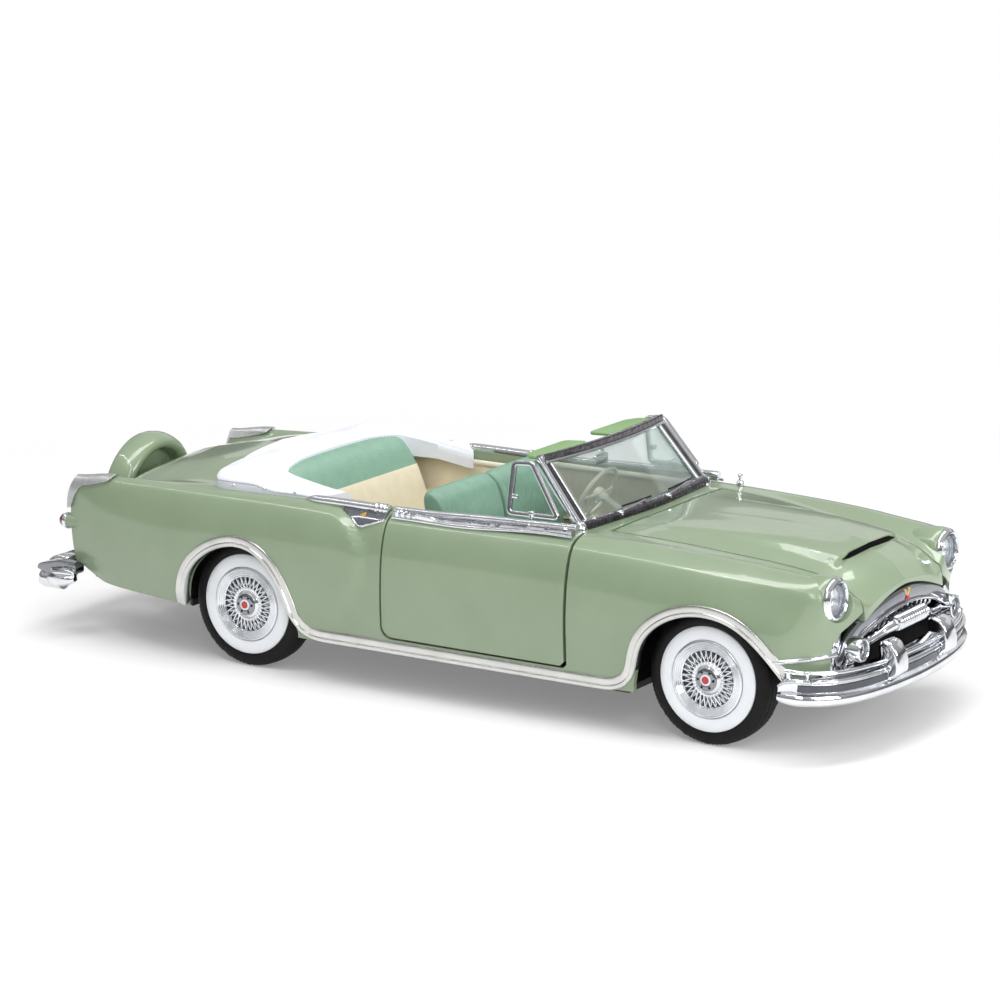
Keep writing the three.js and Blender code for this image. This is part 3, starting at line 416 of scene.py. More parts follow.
def lathe(profile, segments, axis="X", ripple=None):
    """A profile of (radius, height) turned about an axis. A point on the axis closes the end."""
    turn = np.arange(segments) * 2 * np.pi / segments
    verts, rings = [], []
    for r, h in profile:
        if r < 1e-6:
            rings.append([len(verts)])
            verts.append((0, 0, h))
            continue
        rings.append(list(range(len(verts), len(verts) + segments)))
        for a in turn:
            s = r + (ripple(a, r, h) if ripple else 0)
            verts.append((s * math.cos(a), s * math.sin(a), h))
    closed = rings[0] != rings[-1] and len(rings[0]) > 1 and len(rings[-1]) > 1
    pairs = list(zip(rings, rings[1:])) + ([(rings[-1], rings[0])] if closed else [])
    faces = []
    for low, high in pairs:
        for i in range(segments):
            j = (i + 1) % segments
            if len(low) == 1:
                faces.append([low[0], high[j], high[i]])
            elif len(high) == 1:
                faces.append([low[i], low[j], high[0]])
            else:
                faces.append([low[i], low[j], high[j], high[i]])
    x, y, z = np.array(verts, float).T
    turned = {"X": (z, x, y), "Y": (y, z, x), "Z": (x, y, z)}[axis]
    return outward((np.column_stack(turned), faces))


def plate(points, low, high, plane="XZ", edge=0.0, steps=2):
    """A closed outline given thickness, with its edges rounded by edge."""
    mesh = bmesh.new()
    order = {"XZ": (0, 2, 1), "XY": (0, 1, 2), "YZ": (2, 0, 1)}[plane]
    rings = [[mesh.verts.new([(a, b, level)[k] for k in order]) for a, b in points]
             for level in (low, high)]
    mesh.faces.new(rings[0][::-1])
    mesh.faces.new(rings[1])
    for i in range(len(points)):
        j = (i + 1) % len(points)
        mesh.faces.new([rings[0][i], rings[0][j], rings[1][j], rings[1][i]])
    bmesh.ops.recalc_face_normals(mesh, faces=mesh.faces)
    if edge:
        sharp = [e for e in mesh.edges if e.calc_face_angle(0) > 0.6]
        bmesh.ops.bevel(mesh, geom=sharp, offset=edge, segments=steps, profile=0.5, affect="EDGES",
                        clamp_overlap=True)
    return taken(mesh)


def brick(x0, x1, y0, y1, z0, z1, edge=0.3, steps=2):
    return plate([(x0, z0), (x1, z0), (x1, z1), (x0, z1)], y0, y1, "XZ", edge, steps)


def slab(front, back, rows, columns):
    """Two grids of points joined round their edges into one thin solid."""
    n = rows * columns
    grid = [[j * columns + i, j * columns + i + 1, (j + 1) * columns + i + 1, (j + 1) * columns + i]
            for j in range(rows - 1) for i in range(columns - 1)]
    rim = list(range(columns)) + [j * columns + columns - 1 for j in range(1, rows)]
    rim += [(rows - 1) * columns + i for i in range(columns - 2, -1, -1)]
    rim += [j * columns for j in range(rows - 2, 0, -1)]
    faces = grid + [[n + i for i in f[::-1]] for f in grid]
    faces += [[a, a + n, b + n, b] for a, b in zip(rim, rim[1:] + rim[:1])]
    return outward((np.array(list(front) + list(back), float), faces))


def taken(mesh):
    mesh.verts.index_update()
    made = np.array([v.co[:] for v in mesh.verts]), [[v.index for v in f.verts] for f in mesh.faces]
    mesh.free()
    return made


def outward(shape):
    """The same closed shape with its faces pointing out."""
    verts, faces = shape
    volume = 0.0
    for f in faces:
        for i in range(1, len(f) - 1):
            volume += float(np.dot(verts[f[0]], np.cross(verts[f[i]], verts[f[i + 1]])))
    return shape if volume > 0 else (verts, [f[::-1] for f in faces])


def moved(shape, x=0.0, y=0.0, z=0.0):
    return shape[0] + np.array([x, y, z]), shape[1]


def turned(shape, axis, degrees, about=(0, 0, 0)):
    a = math.radians(degrees)
    c, s = math.cos(a), math.sin(a)
    spin = {"X": [[1, 0, 0], [0, c, -s], [0, s, c]], "Y": [[c, 0, s], [0, 1, 0], [-s, 0, c]],
            "Z": [[c, -s, 0], [s, c, 0], [0, 0, 1]]}[axis]
    centre = np.array(about, float)
    return (shape[0] - centre) @ np.array(spin).T + centre, shape[1]


def mirrored(shape):
    return shape[0] * np.array([1, -1, 1]), [f[::-1] for f in shape[1]]


def as_drawn(shape):
    return shape


SIDES = {"left": as_drawn, "right": mirrored}  # shapes are drawn on the car's left side


class Piece:
    """Gathers shapes, each with its material, and makes one object of them."""

    def __init__(self, name):
        self.name = name
        self.verts, self.faces, self.indices, self.materials = [], [], [], []
        self.count = 0

    def add(self, shape, material):
        if material not in self.materials:
            self.materials.append(material)
        index = self.materials.index(material)
        self.verts.append(shape[0])
        self.faces += [[i + self.count for i in f] for f in shape[1]]
        self.indices += [index] * len(shape[1])
        self.count += len(shape[0])
        return self

    def both(self, shape, material):
        """Adds a shape and its mirror image on the car's other side."""
        return self.add(shape, material).add(mirrored(shape), material)

    def make(self, body, slot, *nodes, angle=35):
        mesh = bpy.data.meshes.new(self.name)
        mesh.from_pydata(np.vstack(self.verts) * MM, [], self.faces)
        for material in self.materials:
            mesh.materials.append(material)
        mesh.polygons.foreach_set("material_index", self.indices)
        made = bpy.data.objects.new(self.name, mesh)
        bpy.context.scene.collection.objects.link(made)
        return settle(made, body, nodes, angle)


def settle(made, body, nodes, angle=35):
    """Smooth shading, the piece's rigid body, and the frame's nodes that it stands in for hidden."""
    for polygon in made.data.polygons:
        polygon.use_smooth = True
    made.data.set_sharp_from_angle(angle=math.radians(angle))
    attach(made, body)
    if nodes:
        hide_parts(*nodes)
    return made


# ---------------------------------------------------------------- solids that are cut and joined
def solid(shape):
    mesh = bpy.data.meshes.new("solid")
    mesh.from_pydata(shape[0] * MM, [], shape[1])
    made = bpy.data.objects.new("solid", mesh)
    bpy.context.scene.collection.objects.link(made)
    return made


def combined(base, tools, operation):
    """The base with each tool joined to it, cut from it, or kept in common with it. The tools stay."""
    made = base.copy()
    made.data = base.data.copy()
    bpy.context.scene.collection.objects.link(made)
    for tool in tools:
        modifier = made.modifiers.new("cut", "BOOLEAN")
        modifier.operation = operation
        modifier.solver = "MANIFOLD"
        modifier.object = tool
        mesh = bpy.data.meshes.new_from_object(made.evaluated_get(bpy.context.evaluated_depsgraph_get()))
        made.modifiers.clear()
        made.data = mesh
    return made


def cut(base, *tools):
    return combined(base, tools, "DIFFERENCE")


def joined(base, *tools):
    return combined(base, tools, "UNION")


def common(base, *tools):
    return combined(base, tools, "INTERSECT")


def biggest(piece):
    """Drops every separate part of a mesh but the biggest, and cleans what is left."""
    mesh = bmesh.new()
    mesh.from_mesh(piece.data)
    bmesh.ops.remove_doubles(mesh, verts=mesh.verts, dist=1e-7)
    seen, groups = set(), []
    for start in mesh.verts:
        if start in seen:
            continue
        seen.add(start)
        group, edge = [start], [start]
        while edge:
            for link in edge.pop().link_edges:
                for vert in link.verts:
                    if vert not in seen:
                        seen.add(vert)
                        group.append(vert)
                        edge.append(vert)
        groups.append(group)
    keep = set(max(groups, key=len))
    bmesh.ops.delete(mesh, geom=[v for v in mesh.verts if v not in keep], context="VERTS")
    mesh.to_mesh(piece.data)
    mesh.free()
    return piece


def panel(made, name, body, slot, *nodes, material=None, angle=28):
    """Turns a cut solid into a finished piece."""
    made = biggest(made)
    made.name = name
    made.data.name = name
    made.data.materials.clear()
    made.data.materials.append(material or PAINT)
    made.data.polygons.foreach_set("material_index", [0] * len(made.data.polygons))
    return settle(made, body, nodes, angle)


# ---------------------------------------------------------------- the body's surface
# Each line runs the length of the car as (x, y, z), on the left side, from the sill to the centre line.
BODY_LINES = [
    [(-106, 34.5, 19.4), (-95, 36.4, 15.6), (-68, 38.8, 14.2), (-36, 39.6, 10.6), (0, 39.8, 10.6),
     (62, 39.9, 11), (88, 39.6, 15), (99, 38, 18), (104, 34.8, 19), (107.4, 30, 20), (111, 19, 24)],
    [(-106, 35.2, 27), (-95, 37.4, 27), (-68, 39.8, 27), (-36, 40.3, 27), (0, 40.3, 27), (62, 40.7, 27),
     (88, 40.3, 28), (99, 38.8, 28.5), (104, 35.8, 29), (107.4, 31.6, 29), (111, 19.6, 28)],
    [(-106, 34.7, 34.5), (-95, 36.6, 35), (-68, 38.7, 36), (-36, 39.4, 36.6), (0, 39.4, 36.4),
     (44, 39.5, 37), (79.5, 39.2, 36.5), (95, 37.7, 35.5), (101, 36.6, 35.2), (104, 35.6, 35),
     (107.4, 33.6, 34), (111, 19.6, 30)],
    [(-106, 34, 39.6), (-95, 34.9, 41), (-68, 36.4, 42.2), (-36, 37.2, 42.2), (-8, 37.2, 41.8),
     (44, 37.2, 42.6), (60, 36.8, 42.4), (79.5, 36.2, 41.8), (95, 35.4, 40.6), (104, 34.4, 39.6),
     (107.4, 32.6, 38), (111, 19, 31.5)],
    [(-106, 32.6, 40.6), (-95, 33.2, 42), (-68, 34, 43.2), (-36, 34, 44.2), (-8, 33.8, 43.8),
     (44, 33.4, 44.4), (60, 32.6, 44.2), (79.5, 31.6, 43.5), (95, 30.4, 42.2), (104, 29.6, 41.4),
     (107.4, 28.4, 39.8), (111, 18, 32.6)],
    [(-106, 30, 34.5), (-95, 30.4, 38.8), (-80, 30.4, 41.6), (-68, 29.6, 43.4), (-36, 29, 44.8),
     (-8, 29, 44.6), (44, 28, 44.6), (60, 27.4, 44), (79.5, 24.6, 42.2), (95, 23, 40.4), (104, 21.6, 38.4),
     (107.4, 20.6, 36.4), (111, 15.6, 33.6)],
    [(-106, 16, 34.6), (-100, 16, 38.6), (-94, 16, 40.9), (-80, 16, 44.4), (-66, 16, 46.8), (-40, 16, 46.4),
     (44, 16, 44.8), (60, 15, 45.1), (79.5, 14, 44.3), (95, 13, 42.6), (102, 12.4, 41.2),
     (107.4, 11.6, 38.6), (111, 9.6, 35)],
    [(-106, 0, 34.6), (-100, 0, 39.2), (-94, 0, 42), (-80, 0, 45.7), (-66, 0, 48), (-40, 0, 47),
     (44, 0, 44.7), (60, 0, 45.2), (79.5, 0, 44.7), (95, 0, 43.3), (102, 0, 42), (107.4, 0, 39.6),
     (111, 0, 36)],
]
SILL, WAIST, UPPER_SIDE, SHOULDER, CREST, VALLEY, PANEL, CENTRE = range(8)
LINE_STEPS = [12, 10, 12, 8, 10, 14, 30]  # points between one line and the next


def along(knots, x, k):
    """The value of a line at x: a cubic through its knots that never overshoots them."""
    xs = [p[0] for p in knots]
    vs = [p[k] for p in knots]
    if x <= xs[0]:
        return vs[0]
    if x >= xs[-1]:
        return vs[-1]
    i = int(np.searchsorted(xs, x, side="right")) - 1
    slopes = [(b - a) / (d - c) for a, b, c, d in zip(vs, vs[1:], xs, xs[1:])]

    def tangent(j):
        if j == 0 or j == len(xs) - 1:
            return slopes[0 if j == 0 else -1]
        a, b = slopes[j - 1], slopes[j]
        return 0.0 if a * b <= 0 else 2 * a * b / (a + b)

    h = xs[i + 1] - xs[i]
    t = (x - xs[i]) / h
    return (vs[i] * (2 * t ** 3 - 3 * t ** 2 + 1) + vs[i + 1] * (3 * t ** 2 - 2 * t ** 3)
            + h * (tangent(i) * (t ** 3 - 2 * t ** 2 + t) + tangent(i + 1) * (t ** 3 - t ** 2)))


def swelling(x, z):
    """How far the side stands out at the rear fender's rounded front edge."""
    bend = np.where(z > 33, 0.074, 0.02)
    edge = -12 - bend * (z - 33) ** 2
    return 1.5 * smooth((edge - x) / 2.6) * smooth((z - 12) / 6) * smooth((x + 100) / 40)


TAIL_X = -106
TAIL_RAKE = [(15, 5.4), (18, 3.2), (21, 2.3), (26, 1.9), (31, 1.6), (35, 1.4), (38, 2), (40, 2.8),
             (43, 3.8)]
TAIL_CENTRE_RAKE = 4.4


def rake(x, y, z):
    """How far the tail's edge lies ahead of where an upright one would."""
    share = smooth((-x - 88) / 18)
    side = smooth((np.abs(y) - 22) / 8)
    edge = np.array([along(TAIL_RAKE, height, 1) for height in np.atleast_1d(z)])
    return share * (side * edge + (1 - side) * TAIL_CENTRE_RAKE)


SCOOP = {"front": 101.6, "rear": 50, "half": 15, "rise": 1.6}


def scoop_rise(x, y):
    """The raised middle of the hood: nearly parallel sides, and a step over its slot at the front."""
    run = smooth((x - SCOOP["rear"]) / (SCOOP["front"] - SCOOP["rear"]))
    half = SCOOP["half"] + 2 - 2 * run
    nose = SCOOP["front"] + 0.7 * (1 - (y / SCOOP["half"]) ** 2)
    return SCOOP["rise"] * run * smooth((half - np.abs(y)) / 1.8 + 0.5) * smooth((nose - x) / 0.7)


def centripetal(knots, steps):
    """Points on a centripetal Catmull-Rom curve, with a count of steps for each stretch."""
    pts = np.array(knots, float)
    pts = np.vstack([2 * pts[0] - pts[1], pts, 2 * pts[-1] - pts[-2]])
    made = []
    for i, count in enumerate(steps):
        p = pts[i:i + 4]
        d = [max(1e-4, np.linalg.norm(b - a)) ** 0.5 for a, b in zip(p, p[1:])]
        t1 = ((p[1] - p[0]) / d[0] - (p[2] - p[0]) / (d[0] + d[1]) + (p[2] - p[1]) / d[1]) * d[1]
        t2 = ((p[2] - p[1]) / d[1] - (p[3] - p[1]) / (d[1] + d[2]) + (p[3] - p[2]) / d[2]) * d[1]
        for t in np.linspace(0, 1, count, endpoint=False):
            made.append(p[1] * (2 * t ** 3 - 3 * t ** 2 + 1) + p[2] * (3 * t ** 2 - 2 * t ** 3)
                        + t1 * (t ** 3 - 2 * t ** 2 + t) + t2 * (t ** 3 - t ** 2))
    made.append(pts[-2])
    return np.array(made)


STATIONS = np.concatenate([np.arange(-113, -84, 1.0), np.arange(-84, 88, 1.6), np.arange(88, 111.01, 0.46)])


def relaxed(values, axis, rounds):
    """Averages each inner row with its neighbours a few times, so no crease shows at a knot."""
    values = np.moveaxis(values.copy(), axis, 0)
    for _ in range(rounds):
        values[1:-1] = values[1:-1] / 2 + (values[:-2] + values[2:]) / 4
    return np.moveaxis(values, 0, axis)


def body_grid():
    """The left half of the body's surface, one row of (y, z) points for each station."""
    rows = []
    for x in STATIONS:
        knots = [(along(line, x, 1), along(line, x, 2)) for line in BODY_LINES]
        rows.append(centripetal(knots, LINE_STEPS))
    grid = relaxed(relaxed(np.array(rows), 0, 3), 1, 4)
    grid[:, -1, 0] = 0
    return grid


GRID = body_grid()


def section(x):
    """The body's section at x, as (y, z) points from the sill to the centre line."""
    i = int(np.clip(np.searchsorted(STATIONS, x) - 1, 0, len(STATIONS) - 2))
    t = (x - STATIONS[i]) / (STATIONS[i + 1] - STATIONS[i])
    return GRID[i] * (1 - t) + GRID[i + 1] * t


def body_block(grow=0.0, with_scoop=False):
    """The body as one solid, grown by a distance all round."""
    rings = []
    for x, row in zip(STATIONS, GRID):
        y, z = row.T
        ahead = np.gradient(row, axis=0)
        ahead /= np.linalg.norm(ahead, axis=1, keepdims=True)
        out_y, out_z = ahead[:, 1], -ahead[:, 0]
        out_y[-1], out_z[-1] = 0, 1
        wide = y + smooth((y - 34) / 2) * swelling(x, z) + out_y * grow
        high = z + out_z * grow + (scoop_rise(x, y) if with_scoop else 0)
        high[0] -= max(0, grow)
        half = np.column_stack([x + rake(x, wide, high), wide, high])
        rings.append(across(half))
    return lofted(rings)


def skin_y(x, z):
    """How far out the body's side is at a place on it."""
    row = section(x)[:SHOULDER * 14]
    return float(np.interp(z, row[:, 1], row[:, 0])) + float(swelling(x, z))


def skin_z(x, y):
    """How high the body's top is at a place on it."""
    row = section(x)[sum(LINE_STEPS[:CREST]):][::-1]
    return float(np.interp(abs(y), row[:, 0], row[:, 1]))


def hollow():
    """The space under the casting's skin, open below."""
    rings = []
    for x in [-100, -94, -80, -64, -46, -28, -10, 20, 47, 62, 79, 92, 99, 102.5, 105, 107]:
        y = [along(line, x, 1) for line in BODY_LINES]
        z = [along(line, x, 2) for line in BODY_LINES]
        roof = min(z[CREST], z[VALLEY]) - SKIN - 0.5
        half = np.array([(y[SILL] - SKIN, z[SILL] - 6), (y[WAIST] - SKIN, z[WAIST]),
                         (y[UPPER_SIDE] - SKIN - 0.1, min(z[UPPER_SIDE], roof - 1)),
                         (y[SHOULDER] - SKIN - 1, min(z[SHOULDER] - 1.7, roof)), (y[VALLEY], roof),
                         (y[PANEL], z[PANEL] - SKIN - 0.4), (0, z[CENTRE] - SKIN - 0.2)])
        half = np.column_stack([x + rake(x, half[:, 0], half[:, 1]), half[:, 0], half[:, 1]])
        rings.append(across(half))
    return lofted(rings)


def tail_cutter():
    """Everything behind the tail's raked face."""
    ys, zs = np.linspace(-46, 46, 93), np.linspace(0, 60, 61)
    face = [(TAIL_X + 0.02 + float(rake(TAIL_X, y, z)[0]), y, z) for z in zs for y in ys]
    back = [(-130, y, z) for z in zs for y in ys]
    return slab(face, back, len(zs), len(ys))


# ---------------------------------------------------------------- the casting, cut as it is made
# Points on the edge of each wheel arch, as (x from the axle, z).
FRONT_ARCH = [(-17.3, 13), (-15.6, 21.9), (-11.9, 27), (-6.2, 30.3), (0.4, 31.4), (6.9, 30.4), (12.5, 27.4),
              (17, 22.8), (21, 17)]
REAR_ARCH = [(-16.2, 13), (-15.2, 20.2), (-12.6, 25), (-7.8, 29), (-2, 31.2), (3.4, 31.2), (8.6, 28.8),
             (12.8, 24), (15.4, 18.6), (17.6, 12)]
MOULDING_WIDTH = 2.7
ROCKER_TOP_Z = 13.6
COCKPIT_HALF = 31.5
DOOR_REAR_X = DOOR_REAR_END_X - SHUT_GAP
DOOR_FRONT_X = 44.2
DOOR_FRONT_GAP = 0.8
DOOR_BOTTOM_Z = 14
HOOD_REAR_X = 47.5
HOOD_REAR_GAP = 0.8
HOOD_SIDE = [(HOOD_REAR_X, 26.4), (60, 25.6), (79.5, 23), (95, 21.2), (104, 20.4), (115, 20.2)]
LIP = [(20.6, 10), (20.4, 30), (14, 32.2), (7, 34), (0, 34.8)]
SPARE = (REAR_END_X + 10.6, 0, 30.8)
HEADLIGHT_SEAT_X = 106.4
LAMP_X, LAMP_Z = TAIL_X, TAIL_LAMP[2] + 1.6
# Half of the grille's opening, as (y, z), and two turned shapes as (radius, x from the lamp's place).
MOUTH = [(29, 10), (29, 26.4), (27.4, 29), (22.6, 31.4), (20, 32.6)]
COLLAR = [(0, -10), (HEADLIGHT_R - 2.4, -10), (HEADLIGHT_R - 1.1, -8), (HEADLIGHT_R - 0.1, -6),
          (HEADLIGHT_R + 0.3, -4), (HEADLIGHT_R + 0.5, -2), (HEADLIGHT_R + 0.55, -0.6),
          (HEADLIGHT_R + 0.45, 0.5), (HEADLIGHT_R + 0.2, 0.9), (0, 0.9)]
TAIL_POD = [(0, 7.4), (0.45, 7), (1.1, 5.4), (1.6, 3.2), (1.9, 1), (1.95, 0), (0, 0)]


def arch_edge(points, axle_x, grow, count=40):
    """The outline of an arch as (x, z), let out by grow."""
    edge = curve([(x + axle_x, z) for x, z in points], count)
    ahead = np.gradient(edge, axis=0)
    ahead /= np.linalg.norm(ahead, axis=1, keepdims=True)
    return edge + np.column_stack([-ahead[:, 1], ahead[:, 0]]) * grow


def arch_cutter(points, axle_x):
    edge = arch_edge(points, axle_x, 0)
    return plate([(edge[0][0], 0), *edge, (edge[-1][0], 0)], -BEYOND, BEYOND)


def door_outline(gap):
    """A door's edge as (x, z), drawn in by the gap, with a rounded lower rear corner."""
    front = DOOR_FRONT_X - (DOOR_FRONT_GAP if gap else 0)
    rear, bottom = DOOR_REAR_X + gap, DOOR_BOTTOM_Z + gap
    turn = np.linspace(0, math.pi / 2, 9)
    corner = [(rear + 3 * (1 - math.sin(a)), bottom + 3 * (1 - math.cos(a))) for a in turn]
    return [(rear, 50), *corner[::-1], (front - 1, bottom), (front, bottom + 1), (front, 50)]


def hood_outline(gap):
    side = [(HOOD_REAR_X + (HOOD_REAR_GAP if gap else 0), HOOD_SIDE[0][1])] + HOOD_SIDE[1:]
    line = curve([(x, y - gap) for x, y in side], 40)
    return [*line, *(line[::-1] * np.array([1, -1]))]


def lip_outline():
    """The arch that the nose's edge makes over the grille, as (y, z)."""
    upper = curve([(y, z) for y, z in LIP[1:]] + [(-y, z) for y, z in LIP[-2:0:-1]], 40)
    return [LIP[0], *upper, (-LIP[0][0], LIP[0][1])]


def outline_prism(points, low, high, plane="XZ"):
    return solid(plate(points, low, high, plane))


def on_both_sides(shape, x, y, z):
    """Two solids of a shape, moved to a place and to its mirror image."""
    return [solid(moved(shape, x, side * y, z)) for side in (-1, 1)]


def make_casting():
    """The body, the hood and the doors, from one surface."""
    tail = solid(tail_cutter())
    under = solid(hollow())
    shell = cut(solid(body_block()), tail, under)
    arches = [solid(arch_cutter(FRONT_ARCH, FRONT_AXLE_X)), solid(arch_cutter(REAR_ARCH, REAR_AXLE_X))]
    door_gate = joined(solid(brick(-20, 60, COCKPIT_HALF, BEYOND, 0, 80, 0)),
                       solid(brick(-20, 60, -BEYOND, -COCKPIT_HALF, 0, 80, 0)))
    door_hole = common(outline_prism(door_outline(0), -BEYOND, BEYOND), door_gate)
    hood_hole = outline_prism(hood_outline(0), 26, BEYOND, "XY")
    cabin = outline_prism([(-55, -25), (-49, -COCKPIT_HALF), (40, -COCKPIT_HALF), (40, COCKPIT_HALF),
                           (-49, COCKPIT_HALF), (-55, 25)], 24, 80, "XY")
    mouth = outline_prism([*MOUTH, *[(-y, z) for y, z in MOUTH[::-1]]], 103, 115, "YZ")
    collars = on_both_sides(lathe(COLLAR, 72), HEADLIGHT_SEAT_X, HEADLIGHT[1], HEADLIGHT[2])
    pods = on_both_sides(lathe(TAIL_POD, 48), LAMP_X, TAIL_LAMP[1], LAMP_Z)
    well_r, well_front = 16.4, 5.4
    well = lathe([(0, -7), (well_r, -7), (well_r, well_front), (0, well_front)], 72)
    spare_well = solid(moved(well, *SPARE))
    spare_slot = solid(brick(-115, SPARE[0] + well_front, -15.2, 15.2, 5, SPARE[2], 0))
    socket = lathe([(0, -4), (HEADLIGHT_R + 0.15, -4), (HEADLIGHT_R + 0.15, 8), (0, 8)], 48)
    sockets = on_both_sides(socket, HEADLIGHT_SEAT_X, HEADLIGHT[1], HEADLIGHT[2])
    holes = [*arches, door_hole, hood_hole, cabin, mouth, spare_well, spare_slot, *sockets]
    body = cut(joined(shell, *collars, *pods), *holes)
    panel(body, "body_casting", "body", "green_paint", "body_shell")

    run = np.linspace(-13.2, 13.2, 40)
    slot_line = [(SCOOP["front"] - 1.2 + 0.7 * (1 - (y / 15) ** 2), y, skin_z(SCOOP["front"], y) + 0.7)
                 for y in run]
    slot_size = 0.35 + 0.65 * smooth((13.4 - np.abs(run)) / 4)
    slot = sweep(slot_line, bar_section(2.4, 0.55, 0.2), scale=slot_size)
    raised = cut(solid(body_block(with_scoop=True)), under, solid(slot))
    # A near-black insert just inside the hood's slot: painted shade in the opening.
    inside = [(x + 0.1, y, z) for x, y, z in slot_line]
    insert = sweep(inside, [(-0.7, -0.7), (0.7, -0.7), (0.7, 0.7), (-0.7, 0.7)], scale=slot_size)
    Piece("hood_slot_screen").add(insert, DARK).make("hood", "black_plastic")
    hood = cut(common(raised, outline_prism(hood_outline(SHUT_GAP), 29.6, BEYOND, "XY")),
               outline_prism(lip_outline(), 90, 120, "YZ"))
    panel(hood, "hood_casting", "hood", "green_paint", "hood")

    gate = {"left": (COCKPIT_HALF + 0.3, BEYOND), "right": (-BEYOND, -COCKPIT_HALF - 0.3)}
    for side, (low, high) in gate.items():
        door = common(shell, outline_prism(door_outline(SHUT_GAP), low, high))
        panel(door, f"door_casting_{side}", f"door_{side}", "green_paint", f"door_{side}")


# ---------------------------------------------------------------- wheels
def tyre_shape():
    """A crossply tyre: ribbed round shoulders, three grooves round the tread, and a smooth sidewall."""
    width = TYRE_OUTER_Y - TYRE_INNER_Y
    tread = []
    for h in np.linspace(1.2, width - 1.2, 25):
        groove = 0.22 if min(abs(h - width * g) for g in (0.3, 0.5, 0.7)) < 0.18 else 0.0
        crown = 0.35 * (2 * h / width - 1) ** 2
        tread.append((TYRE_R - crown - groove, TYRE_INNER_Y + h))
    shoulder = [(TYRE_R - 0.5, 1.0), (TYRE_R - 0.75, 0.75), (TYRE_R - 1.1, 0.5), (TYRE_R - 1.8, 0.25)]
    inner = [(r, TYRE_INNER_Y + 2 * h - 0.3) for r, h in shoulder[::-1]]
    outer = [(r, TYRE_OUTER_Y - h + 0.15) for r, h in shoulder]
    wall = [(WHITEWALL_R + 0.5, TYRE_OUTER_Y + 0.02), (WHITEWALL_R + 0.2, TYRE_OUTER_Y - 0.12),
            (WHITEWALL_R + 0.12, TYRE_OUTER_Y - 1.2), (HUB_R + 0.1, TYRE_OUTER_Y - 1.2)]
    back = [(HUB_R + 0.1, TYRE_INNER_Y + 0.6), (11, TYRE_INNER_Y + 0.1), (12.6, TYRE_INNER_Y + 0.4)]

    def ripple(angle, r, h):
        edge = min(h - TYRE_INNER_Y, TYRE_OUTER_Y - h)
        if r < TYRE_R - 1.6 or edge > 2.2:
            return 0.0
        return -0.16 if int(angle / (2 * math.pi) * 192) % 2 else 0.0

    return lathe([*back, *inner, *tread, *outer, *wall], 192, "Y", ripple)


def whitewall_shape():
    low, high = TYRE_OUTER_Y - 0.9, TYRE_OUTER_Y + 0.12
    middle = (HUB_R + WHITEWALL_R) / 2
    return lathe([(HUB_R + 0.1, low), (WHITEWALL_R, low), (WHITEWALL_R + 0.05, high - 0.3),
                  (WHITEWALL_R - 0.15, high - 0.1), (middle + 0.6, high + 0.1), (middle - 0.6, high + 0.12),
                  (HUB_R + 0.4, high), (HUB_R + 0.1, high - 0.1)], 96, "Y")


SPOKES = 30


def hub_into(piece, place):
    """A wire-pattern hub: beaded rim, crossed spokes over a dish, and a cap with six studs."""
    face = TYRE_OUTER_Y + 0.35
    rim = [(HUB_R, TYRE_INNER_Y + 0.8), (HUB_R, face - 0.3), (HUB_R - 0.15, face - 0.02),
           (HUB_R - 0.45, face + 0.08)]
    for r in (8.5, 8.0, 7.5, 7.0):
        sunk = (9 - r) * 0.25
        rim += [(r + 0.12, face - 0.1 - sunk), (r, face + 0.12 - sunk), (r - 0.14, face + 0.1 - sunk),
                (r - 0.26, face - 0.1 - sunk)]
    rim += [(6.6, face - 0.9), (6.45, face - 1.6), (6.4, TYRE_INNER_Y + 0.8)]
    piece.add(place(lathe(rim, 72, "Y")), CHROME)
    dish = [(0, TYRE_INNER_Y + 1), (6.6, TYRE_INNER_Y + 1), (6.6, face - 2.4), (3, face - 1.7),
            (0, face - 1.6)]
    piece.add(place(lathe(dish, 48, "Y")), SMOKED)
    for layer, lean in ((0, 11), (1, -11)):
        for i in range(SPOKES):
            start = math.radians(360 / SPOKES * i + lean)
            end = math.radians(360 / SPOKES * i)
            low = np.array([3.6 * math.cos(start), face - 0.75 + 0.2 * layer, 3.6 * math.sin(start)])
            high = np.array([6.6 * math.cos(end), face - 1.15 + 0.35 * layer, 6.6 * math.sin(end)])
            piece.add(place(sweep([low, (low + high) / 2, high], disc(0.2, 6), (0, 1, 0))), CHROME)
    boss = [(0, face - 1.6), (4.1, face - 1.6), (4.25, face - 0.8), (4.1, face - 0.5), (3.7, face - 0.42),
            (3.4, face - 0.55), (3.1, face - 0.3), (2.8, face - 0.1), (2.72, face - 0.05), (0, face - 0.05)]
    piece.add(place(lathe(boss, 48, "Y")), CHROME)
    cap = [(0, face - 0.2), (2.7, face - 0.2), (2.68, face + 0.15), (2.4, face + 0.35), (1.6, face + 0.45),
           (1.5, face + 0.4), (0, face + 0.4)]
    piece.add(place(lathe(cap, 36, "Y")), SMOKED)
    for i in range(6):
        a = math.radians(60 * i)
        stud = lathe([(0, face + 0.1), (0.3, face + 0.1), (0.3, face + 0.5), (0.18, face + 0.62),
                      (0, face + 0.64)], 10, "Y")
        piece.add(place(moved(stud, 2.0 * math.cos(a), 0, 2.0 * math.sin(a))), DARK)
    ring = [(0, face + 0.35), (1.35, face + 0.35), (1.3, face + 0.62), (0, face + 0.66)]
    piece.add(place(lathe(ring, 24, "Y")), WHITE_RUBBER)
    badge = [(0, face + 0.5), (0.95, face + 0.5), (0.9, face + 0.72), (0.5, face + 0.78), (0, face + 0.8)]
    piece.add(place(lathe(badge, 24, "Y")), RED)


